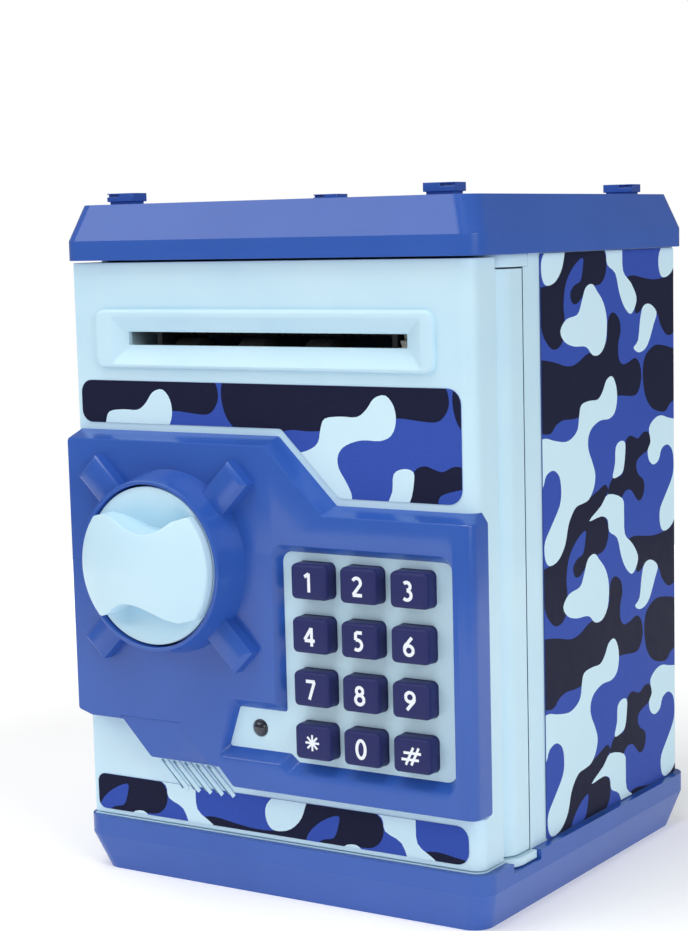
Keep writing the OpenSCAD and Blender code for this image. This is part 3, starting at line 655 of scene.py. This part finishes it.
GRIP_R = 21.4
GRIP_LIFT = 2.0
DOME = COLLAR_RIM_Y - KNOB_LOW.y
BULGE = DOME - GRIP_LIFT
SPHERE_R = (KNOB_R ** 2 + BULGE ** 2) / (2 * BULGE)
SHAFT_R = 5.0
UNDER_Y = PANEL_LOW.y - 3.4
LEDGE = -0.9
SCOOP_DEPTH = 4.2
GRIP_FOOT = LEDGE - 4.6
DISH_POINTS = 90
LOWER_WAVE = [
    (-11.4, -13.3), (-8.3, -11.2), (-4.1, -9.8), (0.3, -10.1), (4.4, -11.5), (8.6, -13.4), (12.2, -14.3),
]
TIP_ANGLE = 223
FADE_ANGLE = 322


def open_spline(points, steps=4):
    """A smooth open line through the points."""
    padded = [points[0], *points, points[-1]]
    made = closed_spline(padded, steps)
    return made[steps:-2 * steps + 1]


def rim_point(angle):
    """A point of the grip's round rim, the angle in degrees."""
    return Vector((math.cos(math.radians(angle)), math.sin(math.radians(angle)))) * GRIP_R


def half_grip():
    """Corners (across, up, radius) of half the grip: the wavy lower edge and the right rim."""
    made = [(*rim_point(TIP_ANGLE), 1.3)]
    made += [(p.x, p.y, 0) for p in open_spline(LOWER_WAVE)]
    made.append((*rim_point(FADE_ANGLE), 1.5))
    first = FADE_ANGLE - 360 + 8
    last = TIP_ANGLE - 180 - 7
    count = 26
    made += [(*rim_point(first + (last - first) * k / count), 0) for k in range(count + 1)]
    return made


def wave_height(x):
    """How high the grip's lower edge lies at a distance across from the knob's middle."""
    line = [rim_point(TIP_ANGLE), *(Vector(p) for p in LOWER_WAVE), rim_point(FADE_ANGLE)]
    for a, b in zip(line, line[1:]):
        if a.x <= x <= b.x:
            return a.y + (b.y - a.y) * (x - a.x) / (b.x - a.x)
    return line[0].y if x < line[0].x else line[-1].y


def ease(value, low, high):
    """0 below low, 1 above high, and a smooth step between them."""
    share = max(0.0, min(1.0, (value - low) / (high - low)))
    return share * share * (3 - 2 * share)


def dome_height(p):
    """Height of the domed grip above the collar's rim."""
    return DOME - SPHERE_R + math.sqrt(SPHERE_R ** 2 - p.length_squared)


def dish_height(p):
    """Height of the scooped floor: at the rim it is level, and it is deepest under the grip's edge."""
    p = p if p.y < 0 else -p
    under = max(0.0, wave_height(p.x) - p.y)
    reach = max(0.5, wave_height(p.x) + math.sqrt(max(0.0, KNOB_R ** 2 - p.x ** 2)))
    deep = SCOOP_DEPTH * (1 - ease(p.x, -1.0, 14.0)) * ease(p.x, -15.5, -9.0)
    return LEDGE - deep * (1 - min(1.0, under / reach)) ** 1.2


def on_knob(p, height):
    """A point at a height above the collar's rim, in metres."""
    return mm(KNOB_X + p.x, COLLAR_RIM_Y - height, KNOB_Z + p.y)


def add_dish(bm):
    """The knob's body: the scooped floor, the rounded rim, the wall, the underside and the shaft."""
    floor_rings = [circle(r, DISH_POINTS) for r in (KNOB_R - 0.35, *range(20, 7, -2))]
    points, triangles, _, sources = regions(floor_rings)
    verts = [bm.verts.new(on_knob(p, dish_height(p))) for p in points]
    for triangle in triangles:
        bm.faces.new([verts[i] for i in triangle])
    home = {k: i for i, origin in enumerate(sources) for k in origin}
    rings = [[verts[home[k]] for k in range(DISH_POINTS)]]
    for radius, height in ((KNOB_R - 0.08, LEDGE - 0.15), (KNOB_R, LEDGE - 0.45),
                           (KNOB_R, COLLAR_RIM_Y - UNDER_Y)):
        rings.append([bm.verts.new(on_knob(p, height)) for p in circle(radius, DISH_POINTS)])
    skin(bm, rings)
    shaft_rings = turned(bm, [(KNOB_R - 1.0, UNDER_Y), (SHAFT_R, UNDER_Y), (SHAFT_R, KNOB_HIGH.y)], 48)
    bm.faces.new(shaft_rings[-1])


def add_grip(bm):
    """The wavy grip that stands in the dish: a wall, a rounded edge and a domed top."""
    half = half_grip()
    outline = smooth_corners(half + [(-x, -y, r) for x, y, r in half])
    rings = [[bm.verts.new(on_knob(p, GRIP_FOOT)) for p in outline]]
    for share, drop in ((1.0, 0.6), (0.998, 0.3), (0.991, 0.1), (0.98, 0.02), (0.96, 0.0)):
        line = [p * share for p in outline]
        rings.append([bm.verts.new(on_knob(p, dome_height(p) - drop)) for p in line])
    skin(bm, rings)
    inner = [[p * share for p in outline] for share in (0.85, 0.7, 0.5, 0.3, 0.12)]
    points, triangles, owners, sources = regions([line, *inner])
    verts = []
    for point, origin in zip(points, sources):
        on_edge = [k for k in origin if k < len(outline)]
        verts.append(rings[-1][on_edge[0]] if on_edge else bm.verts.new(on_knob(point, dome_height(point))))
    for triangle, inside in zip(triangles, owners):
        if 0 in inside:
            bm.faces.new([verts[i] for i in triangle])


def build_knob():
    """The turning knob."""
    bm = bmesh.new()
    add_dish(bm)
    add_grip(bm)
    return finished("knob_moulding", bm, [PALE], "knob", sharp=42)


# ---------------------------------------------------------------- keys

GLYPH_SIZE = 5.5
GLYPH_WIDTH = 0.66
HASH_WIDTH = 1.08
STROKE = 0.165
THIN_STROKES = {"star": 0.11, "hash": 0.13}
INK_RISE = 0.03


def arc(cx, cy, rx, ry, start, end, steps=12):
    """Points along part of an ellipse, angles in degrees."""
    return [
        (cx + rx * math.cos(math.radians(start + (end - start) * k / steps)),
         cy + ry * math.sin(math.radians(start + (end - start) * k / steps)))
        for k in range(steps + 1)
    ]


def rays(cx, cy, reach, count):
    """Lines that cross at one point."""
    made = []
    for k in range(count):
        angle = math.pi * k / count + math.pi / 2
        step = Vector((math.cos(angle), math.sin(angle))) * reach
        made.append([(cx - step.x, cy - step.y), (cx + step.x, cy + step.y)])
    return made


SIX = [arc(0.33, 0.30, 0.235, 0.225, 0, 360, 20), [(0.50, 0.92), *arc(0.50, 0.36, 0.41, 0.34, 128, 178, 5)]]
GLYPHS = {
    "1": [[(0.14, 0.76), (0.38, 0.92)], [(0.38, 0.94), (0.38, 0.02)]],
    "2": [[*arc(0.31, 0.68, 0.22, 0.22, 158, -28), (0.10, 0.09)], [(0.08, 0.08), (0.60, 0.08)]],
    "3": [arc(0.28, 0.71, 0.19, 0.185, 140, -90), arc(0.28, 0.29, 0.235, 0.225, 90, -138)],
    "4": [[(0.44, 0.90), (0.06, 0.32)], [(0.06, 0.29), (0.64, 0.29)], [(0.46, 0.92), (0.46, 0.02)]],
    "5": [[(0.54, 0.91), (0.20, 0.91)], [(0.19, 0.92), (0.17, 0.55)],
          arc(0.27, 0.32, 0.25, 0.245, 112, -128)],
    "6": SIX,
    "7": [[(0.06, 0.91), (0.58, 0.91)], [(0.55, 0.90), (0.24, 0.02)]],
    "8": [arc(0.33, 0.71, 0.18, 0.18, 0, 360, 20), arc(0.33, 0.29, 0.235, 0.225, 0, 360, 20)],
    "9": [[(0.66 - x, 1.0 - y) for x, y in line] for line in SIX],
    "0": [arc(0.33, 0.50, 0.235, 0.43, 0, 360, 24)],
    "star": rays(0.33, 0.50, 0.40, 4),
    "hash": [[(0.24, 0.06), (0.66, 0.92)], [(0.54, 0.06), (0.96, 0.92)],
             [(0.12, 0.64), (1.08, 0.64)], [(0.00, 0.32), (0.96, 0.32)]],
}


def ribbon(line, width):
    """The left and right edges of a stroke with square ends."""
    points = [Vector(p) for p in line]
    left = []
    right = []
    for i, point in enumerate(points):
        before = points[max(0, i - 1)]
        after = points[min(len(points) - 1, i + 1)]
        along = (after - before).normalized()
        normal = Vector((-along.y, along.x)) * width / 2
        left.append(point + normal)
        right.append(point - normal)
    return left, right


def symbol_loops(symbol):
    """The four-sided pieces that a symbol's strokes are made of, in millimetres about its middle."""
    middle = Vector((HASH_WIDTH if symbol == "hash" else GLYPH_WIDTH, 1.0)) / 2
    loops = []
    for line in GLYPHS[symbol]:
        left, right = ribbon(line, THIN_STROKES.get(symbol, STROKE))
        for i in range(len(left) - 1):
            piece = (left[i], right[i], right[i + 1], left[i + 1])
            loops.append([(p - middle) * GLYPH_SIZE for p in piece])
    return loops


def build_key(name, symbol):
    """A key with rounded edges and its printed symbol."""
    low, high = node_box(name)
    middle_x, middle_z = front_middle(name)
    half_x = (high.x - low.x) / 2 - KEY_FOOT
    half_z = (high.z - low.z) / 2 - KEY_FOOT
    tall = high.y - low.y
    bm = bmesh.new()

    def place(u, v, h):
        return (middle_x + u, high.y - h, middle_z + v)

    body = box_corners(-half_x, -half_z, half_x, half_z, 1.5)
    raised(bm, body, [(-0.95, 0.1), (-0.95, 0.9), (-0.05, 1.0), (0.0, tall - 1.6), (0.06, tall - 1.0),
                      (0.22, tall - 0.5), (0.5, tall - 0.16), (0.9, tall - 0.02), (1.3, tall)], place)
    bmesh.ops.recalc_face_normals(bm, faces=bm.faces)
    points, triangles, owners, _ = regions(symbol_loops(symbol))
    verts = [bm.verts.new(mm(*place(p.x, p.y, tall + INK_RISE))) for p in points]
    for triangle, inside in zip(triangles, owners):
        if not inside:
            continue
        face = bm.faces.new([verts[i] for i in triangle])
        face.material_index = 1
        face.normal_update()
        if face.normal.y > 0:
            face.normal_flip()
    bmesh.ops.delete(bm, geom=[v for v in bm.verts if not v.link_faces], context="VERTS")
    return finished(f"{name}_cap", bm, [KEY, DIGIT], name, sharp=40, outward=False)


# ---------------------------------------------------------------- printed camouflage

TILE = Vector((72.5, 75.0))
FRONT_SHIFT = Vector((21.3, 0.0))
STRIP_SHIFT = Vector((20.7, 2.9))
PALE_SHAPES = [
    [(-14, 154), (-10.5, 157), (-4, 158), (-1.5, 161), (1, 165), (5, 166), (8, 164), (12, 160.5), (14, 155.5),
     (13, 149.5), (9.5, 146.5), (5, 146.5), (1, 149), (-6, 149.5), (-11.5, 151)],
    [(2, 100.6), (9.5, 104), (14, 106.7), (23, 104.5), (24, 100.5), (24.5, 94), (29.5, 90.5), (33, 86.5),
     (32, 83.5), (29, 81.7), (25, 84), (22, 88), (19.5, 93.5), (14.5, 96), (13.5, 99.5), (9.5, 101)],
    [(31, 147), (34, 149), (35.5, 155), (37.5, 158.5), (42, 159), (46.5, 156.5), (44.5, 153), (41, 148),
     (38, 146), (34, 145.5)],
    [(-31.5, 123), (-27.5, 125.5), (-23, 126), (-18.5, 125), (-11.5, 124), (-7, 125), (-4.3, 127),
     (-3.4, 130.5), (-2, 133.3), (3, 134), (8, 134), (11, 136), (13.5, 139), (17, 139.8), (19.5, 137),
     (20, 133), (18.5, 129.5), (15, 128), (9.5, 128), (4.5, 126.5), (2, 124), (2, 120.5), (4.5, 116.5),
     (6, 113), (5, 109.5), (2, 106.7), (-1.5, 106), (-5.4, 105.6), (-8, 104), (-10.5, 101), (-12.5, 96),
     (-16, 92.6), (-20, 91.4), (-23, 92), (-24.5, 95), (-24, 98.5), (-20.5, 102), (-15.5, 107),
     (-14.5, 111), (-15.5, 115), (-19, 117), (-23, 116), (-25, 113), (-28.5, 112), (-31.5, 113.5),
     (-32.5, 116.5), (-30.5, 119)],
    [(17, 111), (18.5, 115), (19, 119.5), (22, 121), (25, 120.3), (25, 117), (24, 113), (22, 111.4)],
]
BLACK_SHAPES = [
    [(14, 108), (12, 109.7), (7, 108.3), (2, 107), (-2, 106.3), (-5.5, 105.5), (-8, 104), (-10.5, 101),
     (-12.5, 96), (-16, 92.5), (-20, 91.5), (-27.5, 91), (-35, 91.7), (-42, 92.6), (-46.5, 91.7),
     (-42.5, 89.5), (-40.5, 86), (-40.5, 82), (-37.5, 82), (-34, 83.5), (-26, 81.3), (-23.5, 77.8),
     (-19.5, 74.7), (-15.5, 74.5), (-12.5, 76.5), (-13.5, 79), (-11.5, 82), (-12, 86), (-10.5, 91.7),
     (-6, 96), (-0.5, 98.3), (-0.5, 95.5), (-2, 92), (-5.5, 91), (-8, 89), (-7, 86.3), (-4, 86),
     (-0.5, 88), (3, 90.5), (7, 90.5), (10.5, 91), (13, 93), (14, 96), (13, 99.5), (9.5, 101),
     (5, 100.8), (2, 100.4), (5, 101.7), (9.5, 104), (13.5, 107.2)],
    [(-34, 144), (-30.5, 146), (-26, 147), (-18, 146), (-10.4, 144.4), (-5, 144.7), (0.7, 146.7),
     (3.4, 147.2), (13, 149), (14.2, 154.4), (15.7, 157), (18.4, 157.6), (21.8, 155.6), (22.6, 152.2),
     (21.2, 149), (21.2, 145), (23.4, 142.8), (27.3, 143), (31.8, 144), (35, 142.2), (36, 138.3),
     (34.6, 135), (31.8, 133.3), (26, 133.6), (20.7, 134), (16, 133), (3, 132), (-2, 131), (-3.8, 130),
     (-8, 129.8), (-12.7, 130), (-17, 129), (-20.4, 127), (-26, 127.6), (-30.7, 129.4), (-34, 132.8),
     (-35.4, 137.2), (-35.4, 141)],
    [(14, 108), (17, 111), (22, 111), (24, 113), (25, 117), (25.3, 120.6), (28.4, 122), (32, 121),
     (34, 120.8), (37.3, 122.2), (40.7, 121.7), (42, 119), (40, 116.7), (36, 115.6), (33, 114.4),
     (32.3, 112.2), (34, 110), (37, 108.3), (37.6, 105.6), (36, 103), (33.4, 102.6), (31, 104.4),
     (28.4, 106.3), (25, 106.3), (22.3, 104.4), (19.6, 102.6), (16.2, 103), (14.2, 105.6)],
]
FILM = 0.2


def tiled(shapes, low, high, shift):
    """Every repeat of the shapes that reaches into the area from low to high."""
    made = []
    for shape in shapes:
        smooth = closed_spline(shape)
        for i in range(-4, 5):
            for j in range(-4, 5):
                moved = [p + shift + Vector((i * TILE.x, j * TILE.y)) for p in smooth]
                across = [p.x for p in moved]
                up = [p.y for p in moved]
                if min(across) < high.x and max(across) > low.x and min(up) < high.y and max(up) > low.y:
                    made.append(moved)
    return made


def build_film(name, outline, place, shift):
    """A printed film: its face cut along the camouflage shapes, and a thin edge all round."""
    low = Vector((min(p.x for p in outline), min(p.y for p in outline)))
    high = Vector((max(p.x for p in outline), max(p.y for p in outline)))
    black = tiled(BLACK_SHAPES, low, high, shift)
    pale = tiled(PALE_SHAPES, low, high, shift)
    points, triangles, owners, _ = regions([outline, *black, *pale])
    bm = bmesh.new()
    verts = {}
    first_pale = 1 + len(black)
    for triangle, inside in zip(triangles, owners):
        if 0 not in inside:
            continue
        corners = []
        for i in triangle:
            if i not in verts:
                verts[i] = bm.verts.new(mm(*place(points[i].x, points[i].y, FILM)))
            corners.append(verts[i])
        face = bm.faces.new(corners)
        if any(k >= first_pale for k in inside):
            face.material_index = 2
        elif any(1 <= k < first_pale for k in inside):
            face.material_index = 1
    back = {i: bm.verts.new(mm(*place(points[i].x, points[i].y, 0.0)))
            for i, v in verts.items() if any(e.is_boundary for e in v.link_edges)}
    index = {v: i for i, v in verts.items()}
    for edge in [e for e in bm.edges if e.is_boundary]:
        a, b = edge.verts
        face = bm.faces.new((a, b, back[index[b]], back[index[a]]))
        face.material_index = edge.link_faces[0].material_index
    return finished(f"{name}_print", bm, [ROYAL_INK, BLACK_INK, PALE_INK], name, sharp=50)


FILM_LEFT, FILM_RIGHT = -63.0, 60.7
GRILLE_X = -32.0
GRILLE_Z = 27.5
GRILLE_PITCH = 4.0
SLOT_HALF = 0.35
RIB_EDGE = 1.75
RIB_PAST = 1.5


def notch(left, top):
    """Corners of the cut that a slot of the grille and its rib make in a film's top edge, from the right."""
    lean = math.sqrt(0.5)
    reach = (top - GRILLE_Z) / lean

    def corner(across, along):
        return (left + (across - along) * lean, GRILLE_Z + (across + along) * lean, 0)

    return [corner(RIB_EDGE, reach - RIB_EDGE), corner(RIB_EDGE, -RIB_PAST), corner(SLOT_HALF, -RIB_PAST),
            corner(SLOT_HALF, 0), corner(-SLOT_HALF, 0), corner(-SLOT_HALF, reach + SLOT_HALF)]


def build_films():
    """The four films: one on each side, and two on the door whose outlines follow the panel and grille."""
    for name, sign in (("side_sticker_right", 1), ("side_sticker_left", -1)):
        low, high = node_box(name)
        near, far = sorted((sign * low.y, sign * high.y))
        sheet = smooth_corners(box_corners(near, low.z, far, high.z, 1.0))
        build_film(name, sheet, lambda u, v, h, s=sign: (s * (SIDE_X + h), s * u, v), Vector((0.0, 0.0)))
    low, high = node_box("door_sticker_upper")
    upper = [(FILM_LEFT, 130.2, 3.5), (5.2, 130.2, 2.0), (23.2, low.z, 2.0), (FILM_RIGHT, low.z, 4.0),
             (FILM_RIGHT, high.z, 4.0), (FILM_LEFT, high.z, 3.5)]
    build_film("door_sticker_upper", smooth_corners(upper), on_door, FRONT_SHIFT)
    low, high = node_box("door_sticker_lower")
    notches = [notch(GRILLE_X + GRILLE_PITCH * i, high.z) for i in (4, 3, 2, 1, 0)]
    lower = [(FILM_LEFT, low.z, 2.5), (FILM_RIGHT, low.z, 3.5), (FILM_RIGHT, high.z, 3.5),
             *sum(notches, []), (FILM_LEFT, high.z, 2.5)]
    build_film("door_sticker_lower", smooth_corners(lower), on_door, STRIP_SHIFT)


# ---------------------------------------------------------------- indicator light


def build_light():
    """The light's low glossy dome, which shows a rim of its housing all round."""
    back_y = node_box("status_led")[1].y
    centre_x, centre_z = front_middle("status_led")
    rim = node_box("keypad_plate")[0].y - 0.2
    dome_r = LIGHT_R - 0.35
    bulge = 1.0
    profile = [(LIGHT_R, back_y), (LIGHT_R, rim + 0.1), (LIGHT_R - 0.1, rim), (dome_r, rim)]
    for degrees in range(9, 86, 9):
        angle = math.radians(degrees)
        profile.append((dome_r * math.cos(angle), rim - bulge * math.sin(angle)))
    bm = bmesh.new()
    rings = []
    for radius, y in profile:
        rings.append([bm.verts.new(mm(centre_x + p.x, y, centre_z + p.y)) for p in circle(radius, 40)])
    skin(bm, rings)
    bm.faces.new(rings[0])
    bm.faces.new(rings[-1])
    return finished("status_led_lens", bm, [LENS], "status_led", sharp=50)


# ---------------------------------------------------------------- CAD nodes that are shown as they are

WELD_GAP = 0.000002
FLAT_ANGLE = math.radians(0.6)
EDGE_ANGLE = math.radians(14)
# Material and width of the rounded edges, in millimetres
CAD_LOOKS = {
    "base": (BLUE, 0.35), "top_lid": (BLUE, 0.4), "lid_lugs": (BLUE, 0.35),
    "body_shell": (PALE, 0.3), "coin_chute": (PALE, 0.2), "hinge_bracket_top": (PALE, 0.3),
    "hinge_bracket_bottom": (PALE, 0.3), "door_front": (PALE, 0.35),
    "door_liner": (PALE, 0.35), "battery_cover": (PALE, 0.25), "hinge_pin": (STEEL, 0.2),
    "latch_keeper": (STEEL, 0.15), "base_screws": (STEEL, 0.2), "lid_screws": (STEEL, 0.2),
    "door_screws": (STEEL, 0.2), "feed_motor": (STEEL, 0.4), "lock_solenoid": (STEEL, 0.3),
    "lock_cam": (STEEL, 0.2), "latch_bolt": (STEEL, 0.3), "lock_plunger": (STEEL, 0.25),
    "battery_contacts": (STEEL, 0.08), "idle_roller": (STEEL, 0.2), "drive_roller": (DARK, 0.2),
    "feed_frame": (DARK, 0.2), "bill_sensor": (DARK, 0.25), "speaker": (DARK, 0.3),
    "keypad_membrane": (RUBBER, 0.2), "roller_tyres": (RUBBER, 0.4), "main_board": (BOARD, 0.1),
    "roller_gear": (GEAR, 0.08), "motor_pinion": (GEAR, 0.06), "batteries": (WRAP, 0.3),
}


def dress(name, material, width):
    """Gives a CAD node its material, rounded edges and even shading."""
    piece = nodes[name]
    piece.data.materials.clear()
    piece.data.materials.append(material)
    piece.data.polygons.foreach_set("use_smooth", [True] * len(piece.data.polygons))
    weld = piece.modifiers.new("weld", "WELD")
    weld.merge_threshold = WELD_GAP
    flat = piece.modifiers.new("flat_faces", "DECIMATE")
    flat.decimate_type = "DISSOLVE"
    flat.angle_limit = FLAT_ANGLE
    bevel = piece.modifiers.new("bevel", "BEVEL")
    bevel.width = width * 0.001
    bevel.segments = 2
    bevel.limit_method = "ANGLE"
    bevel.angle_limit = EDGE_ANGLE
    even = piece.modifiers.new("even_normals", "WEIGHTED_NORMAL")
    even.keep_sharp = True


# ---------------------------------------------------------------- camera, light and floor

FLOOR_R = 0.6
GLOW_FROM_R = 0.2


def build_camera():
    """A camera at the photograph's place: 0.62 m from the bank, to the right and level with the lid."""
    yaw, pitch, roll = (math.radians(a) for a in (32.07, 8.03, -1.26))
    ahead = Vector((-math.sin(yaw) * math.cos(pitch), math.cos(yaw) * math.cos(pitch), -math.sin(pitch)))
    right = Vector((math.cos(yaw), math.sin(yaw), 0.0))
    up = right.cross(ahead)
    level_right = right * math.cos(roll) + up * math.sin(roll)
    level_up = up * math.cos(roll) - right * math.sin(roll)
    lens = bpy.data.cameras.new("camera")
    lens.sensor_width = 36.0
    lens.lens = 81.64
    lens.shift_x = -0.0591
    lens.shift_y = 0.0652
    lens.clip_start = 0.01
    lens.clip_end = 50.0
    camera = bpy.data.objects.new("camera", lens)
    turn = Matrix((level_right, level_up, -ahead)).transposed().to_4x4()
    camera.matrix_world = Matrix.Translation(mm(328.36, -518.17, 182.29)) @ turn
    bpy.context.scene.collection.objects.link(camera)
    bpy.context.scene.camera = camera


def area_light(name, place, size, power):
    """A soft rectangular lamp that points at the bank's middle."""
    middle = Vector((0, 0, 0.09))
    lamp = bpy.data.lights.new(name, "AREA")
    lamp.shape = "RECTANGLE"
    lamp.size, lamp.size_y = size
    lamp.energy = power
    holder = bpy.data.objects.new(name, lamp)
    holder.location = place
    holder.rotation_euler = (middle - Vector(place)).to_track_quat("-Z", "Y").to_euler()
    bpy.context.scene.collection.objects.link(holder)


def build_floor():
    """A pale round light table: it glows, more so further away, so that shadows stay soft."""
    tone, tree, shader = blank("floor")
    tree.links.new(mixed(tree, noise(tree, 3.0), linear(240, 240, 240), linear(244, 244, 244)),
                   shader.inputs["Base Color"])
    shader.inputs["Roughness"].default_value = 0.8
    shader.inputs["Emission Color"].default_value = (1.0, 1.0, 1.0, 1.0)
    coords = tree.nodes.new("ShaderNodeTexCoord")
    away = tree.nodes.new("ShaderNodeVectorMath")
    away.operation = "LENGTH"
    glow = tree.nodes.new("ShaderNodeMapRange")
    glow.inputs["From Min"].default_value = GLOW_FROM_R
    glow.inputs["From Max"].default_value = FLOOR_R
    glow.inputs["To Min"].default_value = 0.3
    glow.inputs["To Max"].default_value = 0.9
    tree.links.new(coords.outputs["Object"], away.inputs[0])
    tree.links.new(away.outputs["Value"], glow.inputs["Value"])
    tree.links.new(glow.outputs["Result"], shader.inputs["Emission Strength"])
    bm = bmesh.new()
    bmesh.ops.create_circle(bm, cap_ends=True, segments=96, radius=FLOOR_R)
    mesh = bpy.data.meshes.new("floor")
    bm.to_mesh(mesh)
    bm.free()
    mesh.materials.append(tone)
    floor = bpy.data.objects.new("floor", mesh)
    bpy.context.scene.collection.objects.link(floor)


def build_studio():
    """A surround that is white to the camera and dimmer as a light, and lamps in front, beside and above."""
    world = bpy.data.worlds.new("studio")
    world.use_nodes = True
    tree = world.node_tree
    backdrop = tree.nodes["Background"]
    backdrop.inputs["Color"].default_value = (1.0, 1.0, 1.0, 1.0)
    path = tree.nodes.new("ShaderNodeLightPath")
    strength = tree.nodes.new("ShaderNodeMapRange")
    strength.inputs["To Min"].default_value = 0.27
    strength.inputs["To Max"].default_value = 1.0
    tree.links.new(path.outputs["Is Camera Ray"], strength.inputs["Value"])
    tree.links.new(strength.outputs["Result"], backdrop.inputs["Strength"])
    bpy.context.scene.world = world
    area_light("front_light", (-0.72, -0.92, 0.8), (1.0, 0.6), 4.3)
    area_light("side_light", (1.3, -0.6, 0.6), (0.7, 0.7), 7.5)
    area_light("top_light", (-0.1, -0.4, 1.3), (0.9, 0.6), 8.0)
    bpy.context.scene.view_settings.view_transform = "Standard"


# ---------------------------------------------------------------- the scene

build_camera()
build_floor()
build_studio()
for node_name, (look, edge_width) in CAD_LOOKS.items():
    dress(node_name, look, edge_width)
build_panel()
build_plate()
build_bezel()
build_collar()
build_knob()
build_light()
build_films()
for symbol in GLYPHS:
    build_key(f"key_{symbol}", symbol)
